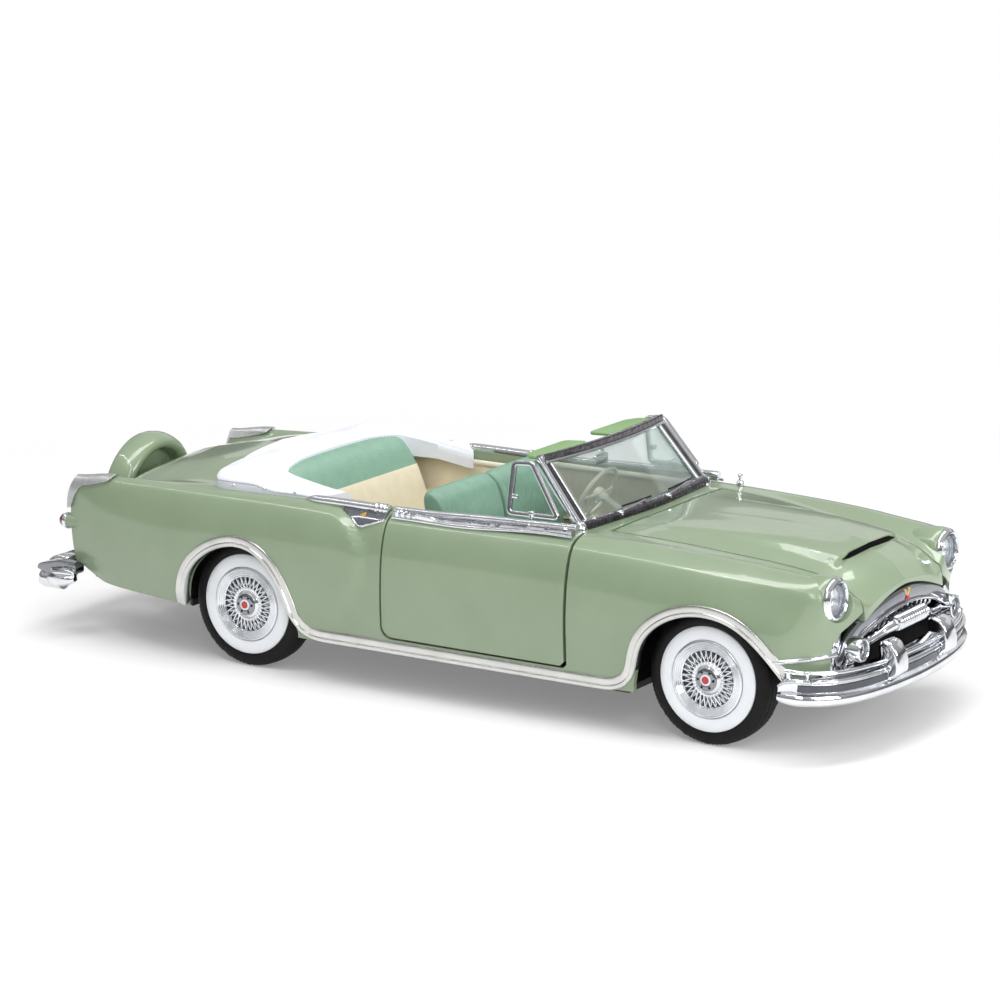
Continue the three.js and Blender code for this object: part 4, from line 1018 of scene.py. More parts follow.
def make_wheels():
    bodies = {"front_left": "wheel_front_left", "front_right": "wheel_front_right",
              "rear_left": "rear_axle", "rear_right": "rear_axle"}
    for corner, body in bodies.items():
        x = FRONT_AXLE_X if corner.startswith("front") else REAR_AXLE_X
        turn = SIDES[corner.split("_")[1]]

        def place(shape):
            return moved(turn(shape), x, 0, TYRE_R)

        tyre = Piece(f"tyre_{corner}_detail").add(place(tyre_shape()), RUBBER)
        tyre.make(body, "tyre_rubber", f"tyre_{corner}")
        Piece(f"whitewall_{corner}_detail").add(place(whitewall_shape()), WHITE_RUBBER).make(
            body, "white_rubber", f"whitewall_{corner}")
        hub = Piece(f"hub_{corner}_detail")
        hub_into(hub, place)
        hub.make(body, "chrome_plate", f"hub_{corner}")


# ---------------------------------------------------------------- mouldings and lamps on the body
def stepped_round(width, height):
    """A moulding with a raised bead that turns in over the arch's edge, and a flatter outer band."""
    turn_in = 1.7
    return [(width * 0.5, -SINK), (width * 0.5, 0), (width * 0.46, height * 0.4),
            (width * 0.3, height * 0.56), (0, height * 0.58), (-width * 0.1, height * 0.5),
            (-width * 0.16, height * 0.92), (-width * 0.28, height), (-width * 0.42, height * 0.92),
            (-width * 0.51, height * 0.5), (-width * 0.54, 0), (-width * 0.54, -turn_in),
            (-width * 0.34, -turn_in), (-width * 0.34, -SINK)]


def make_mouldings():
    """One bright strip on each side: over the rear wheel, along the sill and over the front wheel."""
    half = MOULDING_WIDTH / 2
    rear = arch_edge(REAR_ARCH, REAR_AXLE_X, half, 44)
    front = arch_edge(FRONT_ARCH, FRONT_AXLE_X, half, 44)
    rear = rear[rear[:, 1] > 13.4]
    front = front[front[:, 1] > 13.4]
    sill_z = ROCKER_TOP_Z - 1.5
    sill = [(x, sill_z) for x in np.linspace(rear[-1][0] + 4, front[0][0] - 4, 40)]
    line = even(np.vstack([rear, sill, front]), 260)
    line = relaxed(line, 0, 12)
    path = np.array([(x, skin_y(x, max(z, 13)) + 0.05, z) for x, z in line])
    width = np.where(path[:, 2] < 14, 1.12, 1.0)
    strip = sweep(path, stepped_round(MOULDING_WIDTH, 0.62), (0, 1, 0), scale=width)
    for side, turn in SIDES.items():
        Piece(f"arch_moulding_{side}").add(turn(strip), BRIGHT).make("body", "chrome_plate")


def make_headlights():
    """Each has a rolled bezel, a bowl with a dark bulb in it, and a lens of shallow rings."""
    seat = HEADLIGHT_SEAT_X
    r = HEADLIGHT_R
    bezel = [(3.7, -2), (r + 0.05, -2.2), (r + 0.1, 0.9), (r + 0.3, 1.0), (r + 0.36, 1.3), (r + 0.2, 1.7),
             (r - 0.1, 1.95), (r - 0.35, 2.3), (r - 0.7, 2.4), (3.95, 2.2), (3.75, 1.5), (3.6, 0.6),
             (3.6, -0.4)]
    bowl = [(0, -1.9), (3.5, -1.9), (3.5, 0.3), (3.2, -0.1), (2.2, -1.0), (1.2, -1.35), (0.9, -1.4),
            (0, -1.4)]
    bulb = [(0, -1.5), (1.0, -1.5), (1.0, 0.1), (0.7, 0.3), (0, 0.34)]
    lens = [(0, 0.4), (3.56, 0.4), (3.6, 1.1)]
    for k in range(7):
        base = 3.4 - k * 0.48
        lens += [(base, 1.5 + 0.75 * (1 - (base / 3.4) ** 2)),
                 (base - 0.2, 1.42 + 0.75 * (1 - (base / 3.4) ** 2))]
    lens += [(0, 2.3)]
    for side, turn in SIDES.items():

        def place(shape):
            return turn(moved(shape, seat, HEADLIGHT[1], HEADLIGHT[2]))

        ring = Piece(f"headlight_ring_{side}").add(place(lathe(bezel, 72, "X")), CHROME)
        ring.add(place(lathe(bowl, 48, "X")), CHROME).add(place(lathe(bulb, 24, "X")), DARK)
        ring.make("body", "chrome_plate", f"headlight_bezel_{side}")
        Piece(f"headlight_glass_{side}").add(place(lathe(lens, 64, "X")), LENS).make(
            "body", "clear_plastic", f"headlight_lens_{side}", angle=60)


def make_tail_lamps():
    """A domed red lens in a bright ring, on the pod below each fin."""
    x, y, z = LAMP_X - 0.2, TAIL_LAMP[1], LAMP_Z
    for side, turn in SIDES.items():
        ring = lathe([(1.5, 0.8), (2.05, 0.8), (2.1, 0.1), (2.0, -0.2), (1.8, -0.2), (1.6, 0.1)], 36, "X")
        glass = lathe([(0, 0.8), (1.78, 0.8), (1.78, -0.3), (1.6, -1.1), (1.1, -1.7), (0.5, -2),
                       (0, -2.05)], 36, "X")
        lamp = Piece(f"tail_lamp_{side}").add(turn(moved(glass, x, y, z)), RED_LENS)
        lamp.add(turn(moved(ring, x, y, z)), CHROME)
        lamp.make("body", "red_lens", f"tail_lens_{side}")


# ---------------------------------------------------------------- bumpers and grille
def make_front_bumper():
    """A deep blade with an upper rail, a channel in darker chrome that is painted shade, a rounded lower
    roll, and two tall guards.
    """
    low, high = node_box("front_bumper")
    blade = Piece("front_bumper_detail")
    reach = high[0] - 2.9
    base = low[2] + 1.6
    left = [(99.6, 39.5, base + 1.3), (102, 38.9, base + 1.2), (105.5, 37, base + 0.8),
            (110.2, 30.2, base + 0.3), (113.2, 18, base), (reach, 0, base)]
    path = curve(across(left), 90)
    face = [(0.8, -1.2), (-1.4, -1.5), (-2.1, -1.1), (-2.5, -0.3), (-2.5, 0.5), (-2.15, 1.1), (-1.5, 1.35),
            (-1.05, 1.7), (-0.95, 3.3), (-1.1, 3.7), (-1.7, 3.9), (-1.95, 4.3), (-1.7, 4.75), (-1.1, 4.9),
            (0.8, 4.8)]
    blade.add(sweep(path, face, scale=end_sizes(len(path), (0.6, 0.8, 0.92, 0.98))), CHROME)
    # The channel's darker plate is painted shade in the groove along the blade.
    channel = [(-0.9, 1.6), (-1.2, 1.75), (-1.2, 3.3), (-0.9, 3.45)]
    blade.add(sweep(path[4:-4], channel), SHADE_CHROME)
    rail = path + np.array([0, 0, 6.0])
    rail[:, :2] += 0.5 * rail[:, :2] / np.linalg.norm(rail[:, :2], axis=1, keepdims=True)
    blade.add(sweep(rail[1:-1], disc(0.55, 12)), CHROME)
    for x, y in ((101.6, 39.3), (105.4, 37.4)):
        blade.both(brick(x, x + 0.9, y - 0.9, y + 0.5, base + 4.6, base + 7.4, 0.3, 3), CHROME)
    guard = rounded([(109.6, base + 1.6), (high[0] - 2.2, base + 1.4), (high[0] - 0.1, base + 3),
                     (high[0], base + 5.4), (high[0] - 0.7, base + 8), (high[0] - 2, base + 10),
                     (high[0] - 4.4, base + 10.7), (high[0] - 5.6, base + 9.4), (high[0] - 5.2, base + 6),
                     (109.6, base + 5.4)], 0.8, 5)
    blade.both(plate(guard, 9.8, 15.2, "XZ", 0.7, 4), CHROME)
    bar = curve([(112.4, 10.6, base + 6.4), (112.9, 5, base + 5.2), (113.1, 0, base + 4.9),
                 (112.9, -5, base + 5.2), (112.4, -10.6, base + 6.4)], 30)
    blade.add(sweep(bar, disc(0.75, 12, 1.3)), CHROME)
    fill = [(107, 38.2, base + 5.4), (112, 26, base + 5.2), (112.6, 10, base + 5.2)]
    blade.both(sweep(curve(fill, 20), disc(0.5, 10)), SMOKED)
    blade.both(brick(104, 113, 17, 19.4, base - 1.4, base + 0.2, 0.3), SMOKED)
    blade.make("body", "chrome_plate", "front_bumper")


def make_rear_bumper():
    """A blade round the corners, with a wedge over each end, two guards and a pan behind the spare."""
    low = node_box("rear_bumper")[0]
    back = low[0] + 2.6
    z = 14.4
    left = [(-100.5, 38.6, z + 1.6), (-104, 38.4, z + 1), (-108.6, 36.4, z + 0.3), (-113, 30.6, z),
            (back, 15, z), (back - 0.1, 0, z)]
    path = curve(across(left), 90)
    ends = end_sizes(len(path), (0.5, 0.75, 0.9, 0.97))
    roll = [(1.4, -1.7), (2.2, -1.2), (2.5, -0.3), (2.3, 0.6), (1.7, 1.1), (1.3, 1.3), (1.35, 1.8),
            (1.7, 2.2), (1.5, 2.8), (0.7, 3.1), (-0.6, 3.0), (-0.7, -1.2)]
    blade = Piece("rear_bumper_detail").add(sweep(path, roll, scale=ends), CHROME)
    wedge = rounded([(-101, z + 2.2), (-110.4, z + 1.6), (-113.4, z + 2.6), (-112.6, z + 3.9),
                     (-106, z + 5.2), (-101, z + 4.6)], 0.7, 4)
    blade.both(plate(wedge, 34.6, 38.2, "XZ", 0.7, 4), SMOKED)
    pod = lathe([(0, -4), (1.1, -3.9), (2.0, -3.2), (2.4, -2), (2.4, 3.4), (0, 3.6)], 36, "X")
    blade.both(moved(pod, -109.6, 36.2, z - 0.1), CHROME)
    guard = rounded([(-109.6, z - 1.8), (-114, z - 2.2), (low[0] + 0.3, z - 1.4), (low[0] + 0.1, z + 1.4),
                     (-115, z + 3.6), (-112.4, z + 4.4), (-109.6, z + 4)], 0.9, 4)
    blade.both(plate(guard, 25.6, 30.2, "XZ", 0.8, 4), CHROME)
    blade.both(brick(-115.4, -103.4, 15.4, 24, 16.9, 17.8, 0.2), SMOKED)
    blade.add(brick(-115.4, -113, -16, 16, 15, 16.2, 0.3), SMOKED)
    blade.both(brick(-114, -104, 18, 20.4, 13.8, 17.2, 0.3), SMOKED)
    blade.make("body", "chrome_plate", "rear_bumper")


def make_grille():
    """An arched surround over upright teeth, a floating bar with a fluted middle, and two round lamps."""
    grille = Piece("grille_detail")
    arch = [(107.6, 26.4, 18.6), (108.4, 25.8, 22), (108.9, 23.8, 25.8), (109.6, 19, 28.7),
            (110.4, 10, 31.2), (110.8, 0, 32.2)]
    path = curve(across(arch), 80)
    band = [(-1.9, -0.9), (-1.9, 0.2), (-1.2, 0.7), (0.2, 0.95), (1.3, 0.8), (1.75, 0.3), (1.95, -0.1),
            (1.95, -0.9)]
    grille.add(sweep(path, band, (1, 0, 0)), SMOKED)
    middle = path - np.array([-0.75, 0, 1.75])
    grille.add(sweep(middle[4:-4], disc(0.36, 10)), CHROME)
    bar_middle = (112.1, 0, 27.1)
    bar_left = [(109.2, 21.4, 24.6), (109.8, 17.6, 24.6), (110.6, 13.2, 25.4), (111.7, 8.4, 26.7),
                bar_middle]
    bar = curve(across(bar_left), 60)
    thick = 0.85 + 0.35 * smooth((13 - np.abs(bar[:, 1])) / 6)
    grille.add(sweep(bar, disc(1.15, 16), scale=thick), CHROME)
    flutes = []
    for h in np.linspace(-6.6, 6.6, 97):
        flutes.append((1.62 + 0.34 * abs(math.sin(math.pi * (h + 6.6) / 1.1)) ** 0.8, h))
    fluted = lathe([(0, -7.2), (1.5, -7.2), (1.8, -6.9), *flutes, (1.8, 6.9), (1.5, 7.2), (0, 7.2)], 28,
                   "Y")
    grille.add(moved(fluted, *bar_middle), CHROME)
    # A near-black core inside the fluted middle, showing between the flutes: painted shade in their grooves.
    flute_shade_core = lathe([(0, -6.5), (1.76, -6.5), (1.76, 6.5), (0, 6.5)], 28, "Y")
    grille.add(moved(flute_shade_core, *bar_middle), DARK)
    for y in np.linspace(-15, 15, 13):
        foot = (108.6 + 0.5 * math.cos(y / 12), y, 26.4)
        head = (109.2 + 0.9 * math.cos(y / 12), y, 32.2 - 0.016 * y * y)
        tooth = sweep(curve([foot, ((foot[0] + head[0]) / 2 + 0.5, y, (foot[2] + head[2]) / 2), head], 8),
                      disc(0.42, 8, 1.5), (1, 0, 0))
        grille.add(tooth, CHROME)
    pod = (109.6, 23.5, 24.5)
    shell = [(0, -3.6), (1.9, -3.4), (2.6, -2.2), (2.85, 0), (2.85, 2.6), (2.7, 3.1), (2.4, 3.3),
             (2.15, 3.1), (2.0, 2.4), (0, 2.2)]
    glass = [(0, 2.3), (2.05, 2.3), (2.0, 3.1), (1.5, 3.5), (0.7, 3.75), (0, 3.8)]
    for turn in SIDES.values():
        grille.add(turn(moved(lathe(shell, 40, "X"), *pod)), CHROME)
        grille.add(turn(moved(lathe(glass, 40, "X"), *pod)), LENS)
        spider = lathe([(0.5, 2.2), (0.75, 2.35), (0.5, 2.6), (0.3, 2.35)], 20, "X")
        grille.add(turn(moved(spider, *pod)), DARK)
    for k in range(3):
        strake = curve([(107.2, 27.6 - 0.2 * k, 19.4 + 1.9 * k), (108.6, 25.6, 19.6 + 1.7 * k),
                        (109.4, 22.4, 20 + 1.4 * k)], 14)
        grille.both(sweep(strake, disc(0.55, 10, 1.2)), CHROME)
    cheek = rounded([(26.6, 16.6), (29.6, 16.8), (29.8, 26), (28.2, 28.6), (26, 28.6)], 0.8, 4)
    grille.both(plate(cheek, 105.4, 108.2, "YZ", 0.5, 3), CHROME)
    lower = curve([(107.4, 26, 19), (109, 20, 18.9), (109.6, 10, 18.8), (109.9, 0, 18.8)], 20)
    grille.add(sweep(across(lower), disc(0.6, 10)), SMOKED)
    chevron = [(-1.5, 34), (-0.9, 34.1), (0, 32.7), (0.9, 34.1), (1.5, 34), (0, 31.9)]
    grille.add(moved(plate(chevron, 111.2, 111.8, "YZ", 0.12), 0, 0, -0.2), YELLOW)
    grille.add(plate(rounded([(-0.7, 32.4), (0, 31.9), (0.7, 32.4), (0, 30.9)], 0.2), 111.3, 112.0, "YZ",
                     0.12), RED)
    grille.make("body", "chrome_plate", "grille")
    # A near-black sheet behind the grille: painted shade in the opening behind it.
    shade_sheet = Piece("grille_recess").add(brick(102.6, 103.4, -28.6, 28.6, 13, 32.4, 0.3), DARK)
    shade_sheet.make("body", "black_plastic")


def make_fender_strips():
    """A thin bright strip along each front fender, from behind its corner to the grille."""
    path = [(x, skin_y(x, z) + 0.1, z) for x, z in
            ((97.6, 23.1), (98.4, 23.2), (100, 23.4), (102, 23.6), (104, 23.8), (105.6, 23.9), (107, 24),
             (108.2, 24))]
    path = curve(path, 30)
    size = 0.5 + 0.5 * smooth(np.linspace(0, 6, 30))
    strip = Piece("fender_strips")
    strip.both(sweep(path, half_round(1.3, 0.8), (0, 1, 0), scale=size), CHROME)
    strip.make("body", "chrome_plate")


# ---------------------------------------------------------------- belt trim, fin caps and spare
def make_fin_caps():
    """A satin cap along the top of each fin, folded down over its rear edge."""
    outer = cut(solid(body_block(0.75)), solid(moved(tail_cutter(), -0.7)))
    inner = cut(solid(body_block(0.04)), solid(tail_cutter()))
    shape = rounded([(-90.5, 43.4), (-92, 41.4), (-97, 40), (-100.8, 39.2), (-102, 38), (-103.2, 36),
                     (-104.2, 33), (-115, 33), (-115, 50), (-90.5, 50)], 0.8, 4)
    cap = common(cut(outer, inner), solid(plate(shape, 31.8, 44)))
    other = common(cut(outer, inner), solid(plate(shape, -44, -31.8)))
    panel(cap, "fin_cap_left", "body", "chrome_plate", "fin_trim_left", material=SATIN)
    panel(other, "fin_cap_right", "body", "chrome_plate", "fin_trim_right", material=SATIN)


def make_quarter_trims():
    """Behind each door: a round rail on the belt, a dark wedge plate below it, and a small coloured mark."""
    front = node_box("quarter_trim_left")[1][0]
    plate_outline = [(-22.6, 44.4), (-18.6, 42.6), (-15, 40.3), (-12.8, 40.7), (-10.4, 42), (front, 42.4),
                     (front, 45), (-22.6, 45)]
    shell = cut(solid(body_block(0.45)), solid(body_block(0.04)))
    for side, turn in SIDES.items():
        window = solid(turn(plate(rounded(plate_outline, 0.8, 4), 33.6, 44)))
        panel(common(shell, window), f"quarter_plate_{side}", "body", "chrome_plate", material=SMOKED)
        rail = curve([(-32.4, 34.7, 44.2), (-28, 34.9, 44.3), (-20, 34.9, 44.35),
                      (front + 0.1, 34.9, 44.3)], 24)
        size = np.concatenate([[0.25, 0.6, 0.85], np.ones(21)])
        trim = Piece(f"quarter_rail_{side}").add(turn(sweep(rail, disc(1.2, 20, 0.95), scale=size)), CHROME)
        lower = curve([(-22.4, 37.2, 44.2), (-18.6, 37.4, 42.5), (-15, 37.9, 40.3), (-12.8, 38.1, 40.7),
                       (front, 37.7, 42.2)], 24)[:, [0, 2]]
        trim.add(turn(sweep([(x, skin_y(x, z) + 0.3, z) for x, z in lower], disc(0.28, 8))), CHROME)
        for x in (-11.8, -10.4, -9.4):
            band = lathe([(0, -0.35), (1.3, -0.35), (1.42, 0), (1.3, 0.35), (0, 0.35)], 20, "X")
            trim.add(turn(moved(band, x, 34.9, 44.3)), CHROME)
        mark_x, mark_z = -14.6, 42.5
        mark_y = skin_y(mark_x, mark_z) + 0.3
        kite = [(mark_x - 0.9, mark_z + 0.2), (mark_x + 0.9, mark_z + 1.1), (mark_x + 0.7, mark_z - 0.2),
                (mark_x - 0.3, mark_z - 0.4)]
        drop = [(mark_x - 0.6, mark_z - 0.2), (mark_x + 0.2, mark_z - 0.2), (mark_x - 0.1, mark_z - 1.1)]
        trim.add(turn(plate(rounded(kite, 0.2), mark_y, mark_y + 0.35, "XZ", 0.1)), YELLOW)
        trim.add(turn(plate(rounded(drop, 0.15), mark_y, mark_y + 0.45, "XZ", 0.1)), RED)
        trim.make("body", "chrome_plate", f"quarter_trim_{side}")


def make_door_trims():
    """The rail on each door's top, with a catch at its rear end and a bracket under the vent window."""
    low, high = node_box("door_trim_left")
    rear, front = low[0] + 0.1, high[0] - 0.2
    for side, turn in SIDES.items():
        rail = curve([(rear, 34.6, 44.6), (rear + 12, 34.5, 44.8), (18, 34.3, 45.4), (front, 33.6, 46.1)],
                     60)
        trim = Piece(f"door_rail_{side}").add(turn(sweep(rail, disc(0.82, 16, 1.0))), CHROME)
        run = np.linspace(rear, front, 50)
        rise = smooth((run - 8) / 30) * 1.3
        ledge = [(x, skin_y(x, 42.6) - 0.1 - 0.9 * h, 43.1 + h) for x, h in zip(run, rise)]
        trim.add(turn(sweep(ledge, half_round(1.1, 0.5), (0, 0.8, 0.6), scale=1 - 0.3 * rise)), CHROME)
        band = [(x, 35.6 - 0.9 * h, 43.9 + 0.9 * h) for x,
                h in zip(np.linspace(rear + 0.2, front - 0.6, 50), rise)]
        cast = rounded([(-0.9, -0.7), (0.9, -0.7), (0.8, 0.5), (-0.8, 0.7)], 0.2)
        trim.add(turn(sweep(band, cast, (0, 0, 1))), ROUGH_CHROME)
        for k in range(4):
            x = rear + 1.2 + 1.5 * k
            lug = brick(x, x + 1.0, 35.2, 37.1 - 0.18 * k, 43.4, 44.9 - 0.2 * k, 0.25, 3)
            trim.add(turn(lug), CHROME)
        catch = rounded([(rear + 6.6, 43.6), (rear + 11.6, 43.4), (rear + 12.6, 43.9), (rear + 11.2, 44.5),
                         (rear + 6.8, 44.7)],
                        0.3, 3)
        trim.add(turn(plate(catch, 35.4, 36.8, "XZ", 0.3, 3)), CHROME)
        for x in (27.6, 30.4, 40.2):
            boss = lathe([(0, -0.6), (0.75, -0.6), (0.8, 0.2), (0.5, 0.6), (0, 0.7)], 16, "Z")
            trim.add(turn(moved(boss, x, 34.2, 45.5)), CHROME)
        trim.make(f"door_{side}", "chrome_plate", f"door_trim_{side}")


def leaned(shape):
    """Leans a side window of the right door in at its top."""
    return moved(turned(moved(shape, 0, 36.4, -47), "X", -12), 0, -36.6, 48)


def make_vent_windows():
    """A bright frame and a clear pane at the front of each door, drawn on the car's right."""
    frame_line = [(24, 47.1), (37.4, 47.4), (28.9, 59.2), (24, 58.8)]
    pane_line = [(24.4, 47.6), (36.4, 47.9), (28.6, 58.7), (24.4, 58.4)]
    for side, turn in (("left", mirrored), ("right", as_drawn)):
        corners = rounded(frame_line, 1.0, 6)
        loop = even(np.vstack([corners, corners[:1]]), 90)[:-1]
        path = np.column_stack([loop[:, 0], np.full(len(loop), -32.7), loop[:, 1]])
        section = bar_section(0.6, 0.55, 0.25)
        vent = Piece(f"vent_window_{side}").add(turn(leaned(sweep(path, section, (0, 1, 0), closed=True))),
                                                CHROME)
        knob = lathe([(0, -1.2), (0.45, -1.2), (0.5, -0.3), (0.75, -0.1), (0.75, 0.4), (0.4, 0.6),
                      (0, 0.6)], 16, "Z")
        vent.add(turn(leaned(moved(knob, 30.4, -33.3, 47.6))), CHROME)
        vent.add(turn(leaned(brick(24.6, 26, -33.3, -32.2, 50.6, 51.6, 0.2))), CHROME)
        vent.make(f"door_{side}", "chrome_plate", f"vent_frame_{side}")
        glass = plate(rounded(pane_line, 0.8, 5), -32.9, -32.5, "XZ", 0.08)
        Piece(f"vent_pane_{side}").add(turn(leaned(glass)), GLASS).make(f"door_{side}", "clear_plastic",
                                                                        f"vent_glass_{side}")


def make_spare():
    """The metal cover of the spare wheel: a rolled rim, a step and a dished face."""
    r, half = 15.2, 4
    profile = [(0, -1.3), (4, -1.4), (8, -1.2), (10, -1.1), (10.7, -1.5), (11.1, -2.6), (11.6, -3.5),
               (12.5, -half), (13.5, -half + 0.1), (14.4, -3.2), (r - 0.25, -1.9), (r, -0.5), (r, 0.5),
               (r - 0.25, 1.9), (14.4, 3.2), (13.5, half - 0.1), (12.5, half), (11.7, 3.4), (11.2, 2),
               (10.9, 0.2), (10, -0.1), (8, 0.1), (4, 0.5), (0, 0.6)]
    fine = even(np.array(profile), 90)
    fine[0][0] = fine[-1][0] = 0
    cover = solid(moved(turned(lathe([tuple(p) for p in fine], 120, "X"), "Y", 6), *SPARE))
    cover = cut(cover, solid(brick(-130, -90, -20, 20, 0, 19.3, 0)))
    panel(cover, "spare_wheel_cover", "body", "green_paint", "spare_cover", angle=40)


# ---------------------------------------------------------------- boot cover over the folded roof
BOOT_OUTER = [(-30.4, 34.6), (-45, 34.9), (-57, 34.6), (-61, 32), (-63.1, 22), (-64, 10), (-64.2, 0)]
BOOT_INNER = [(-24.6, 27.6), (-36, 27.4), (-42, 26.6), (-45.4, 24), (-47.4, 16), (-48, 8), (-48.1, 0)]
BOOT_CROWN = [(-68, 45.6), (-62, 47.6), (-55, 49.4), (-49, 49.6), (-42, 48.3), (-26, 45.9)]
BOOT_FALL = [(0, -0.2), (16, 0), (29, 0.8), (33.5, 2.2), (35.5, 4), (39, 5)]


def boot_top(x, y):
    return along(BOOT_CROWN, x, 1) - along(BOOT_FALL, abs(y), 1)


def boot_folds(x, y, s):
    """Soft creases that run from the corners into the cover."""
    wave = 0.16 * math.sin(0.55 * x + 0.32 * abs(y)) + 0.12 * math.sin(0.23 * x - 0.5 * abs(y) + 1.3)
    crease = 0.3 * math.exp(-((abs(y) - 26 - 0.35 * (x + 56)) / 1.6) ** 2) * smooth((-x - 44) / 10)
    return (wave + crease) * float(smooth(s * 6) * smooth((1 - s) * 5))


def make_boot_cover():
    """The white cover, from its foot on the deck to its edge over the rear seat, and the skirt under it."""
    outer, inner = across(curve(BOOT_OUTER, 110)), across(curve(BOOT_INNER, 110))
    shares = np.concatenate([[0, 0, 0, 0.006, 0.02, 0.045, 0.08], np.linspace(0.12, 0.9, 34),
                             [0.94, 0.965, 0.985, 1, 1.004, 1]])
    first_drops, last_drops = (0.5, 0.3, 0.1), (2.6, 4.6)
    roll_in = len(shares) - len(last_drops)
    rings, skirt_rings = [], []
    for (ox, oy), (ix, iy) in zip(outer, inner):
        base = skin_z(ox, min(abs(oy), 34)) + 0.1
        edge_top = max(boot_top(ox, oy), base + 0.7)
        ring = []
        for k, s in enumerate(shares):
            x, y = ox + (ix - ox) * s, oy + (iy - oy) * s
            top = max(boot_top(x, y), base + 0.7) + boot_folds(x, y, s)
            if k < len(first_drops):
                z = edge_top - first_drops[k]
            elif k >= roll_in:
                z = top - last_drops[k - roll_in]
            else:
                bead = 0.25 * math.exp(-((s - 0.05) / 0.03) ** 2)
                z = top - 0.9 * float(smooth((s - 0.93) / 0.07)) + bead
            ring.append((x, y, z))
        ring.append((ring[-1][0] + 0.02, ring[-1][1], min(ring[-1][2], 42)))
        ring.append((ox + (ix - ox) * 0.1, oy + (iy - oy) * 0.1, edge_top - 1.2))
        rings.append(ring)
        near = (ox + (ix - ox) * 0.03, oy + (iy - oy) * 0.03)
        skirt_rings.append([(ox, oy, base - 0.4), (ox, oy, edge_top - 0.3), (*near, edge_top - 0.3),
                            (*near, base - 0.4)])
    cover = Piece("boot_cover_vinyl").add(lofted(rings), VINYL)
    cover.add(lofted(skirt_rings), SKIRT)
    snap = lathe([(0, -0.2), (0.42, -0.2), (0.42, 0.05), (0.25, 0.2), (0, 0.24)], 14, "Y")
    for x in (-36, -45, -54):
        y = float(np.interp(x, outer[:70, 0][::-1], outer[:70, 1][::-1]))
        cover.both(moved(snap, x, y, skin_z(x, 34.9) + 1.0), CHROME)
    cover.make("body", "white_vinyl", "boot_cover", angle=50)


# ---------------------------------------------------------------- windshield
FOOT_X, FOOT_Z, TOP_X, TOP_Z = 41.4, 44.8, 28.8, 59.7
FOOT_HALF, TOP_HALF = 29.4, 28.0


def on_pane(share, up, out=0.0):
    """A place on the windshield: share from -1 to 1 across it, up from 0 to 1, and out in front of it."""
    half = FOOT_HALF + (TOP_HALF - FOOT_HALF) * up
    bow = 2.4 * (1 - share ** 2)
    length = math.hypot(FOOT_X - TOP_X, TOP_Z - FOOT_Z)
    nx, nz = (TOP_Z - FOOT_Z) / length, (FOOT_X - TOP_X) / length
    return (FOOT_X + (TOP_X - FOOT_X) * up + bow + out * nx, share * half,
            FOOT_Z + (TOP_Z - FOOT_Z) * up + out * nz)


def make_windshield():
    """A cast frame with rough dark faces, a rib round the inside, and a bowed pane."""
    shield = Piece("windshield_surround")
    header = [on_pane(a, 0.985) for a in np.linspace(-0.99, 0.99, 60)]
    box_section = rounded([(-1.15, -1.0), (1.15, -1.0), (1.15, 0.7), (0.5, 1.05), (-0.9, 1.05)], 0.4, 4)
    shield.add(sweep(header, box_section, (0, 0, 1)), ROUGH_CHROME)
    face = [on_pane(a, 0.965, 1.15) for a in np.linspace(-0.97, 0.97, 80)]
    shield.add(sweep(face, bar_section(0.35, 1.0, 0.25), (0, 0, 1)), ROUGH_DARK)
    rib = [on_pane(a, 0.915, 1.0) for a in np.linspace(-0.97, 0.97, 60)]
    shield.add(sweep(rib, disc(0.38, 10)), CHROME)
    for side in (-1, 1):
        outer = [on_pane(1.0 * side, u) for u in np.linspace(0.0, 1.0, 24)]
        post = rounded([(-1.0, -0.6), (1.0, -0.6), (0.9, 0.7), (-0.9, 0.7)], 0.3, 4)
        shield.add(sweep(outer, post, (0, side, 0.1)), CHROME)
        web = [on_pane(0.945 * side, u, 0.1) for u in np.linspace(0.01, 0.99, 60)]
        shield.add(sweep(web, bar_section(0.6, 1.1, 0.2, 3), (0, side, 0)), ROUGH_DARK)
        inner = [on_pane(0.9 * side, u, 0.35) for u in np.linspace(0.02, 0.96, 30)]
        shield.add(sweep(inner, disc(0.55, 12), (0, side, 0)), CHROME)
        foot = moved(lathe([(0, -1.2), (1.5, -1.2), (1.6, -0.2), (1.2, 0.8), (0.8, 1.3), (0, 1.4)], 20,
                           "Z"),
                     FOOT_X, side * (FOOT_HALF - 0.2), FOOT_Z + 0.2)
        shield.add(foot, CHROME)
    cowl = [on_pane(a, 0.035, 0.5) for a in np.linspace(-0.98, 0.98, 90)]
    ledge = rounded([(-1.4, -0.8), (1.4, -0.8), (0.9, 0.6), (-0.9, 1.0)], 0.3, 4)
    shield.add(sweep(cowl, ledge, (0, 0, 1)), ROUGH_DARK)
    ridge = [on_pane(a, 0.07, 0.7 + 0.25 * math.sin(37 * a) * math.cos(23 * a))
             for a in np.linspace(-0.96, 0.96, 140)]
    shield.add(sweep(ridge, disc(0.42, 8)), ROUGH_CHROME)
    shield.make("body", "chrome_plate", "windshield_frame")
    rows, columns = 10, 40
    ups = np.linspace(0.03, 0.97, rows)
    front = [on_pane(a, u, 0.1) for u in ups for a in np.linspace(-0.95, 0.95, columns)]
    back = [on_pane(a, u, -0.35) for u in ups for a in np.linspace(-0.96, 0.96, columns)]
    pane = Piece("windshield_pane").add(slab(front, back, rows, columns), GLASS)
    pane.make("body", "clear_plastic", "windshield_glass")


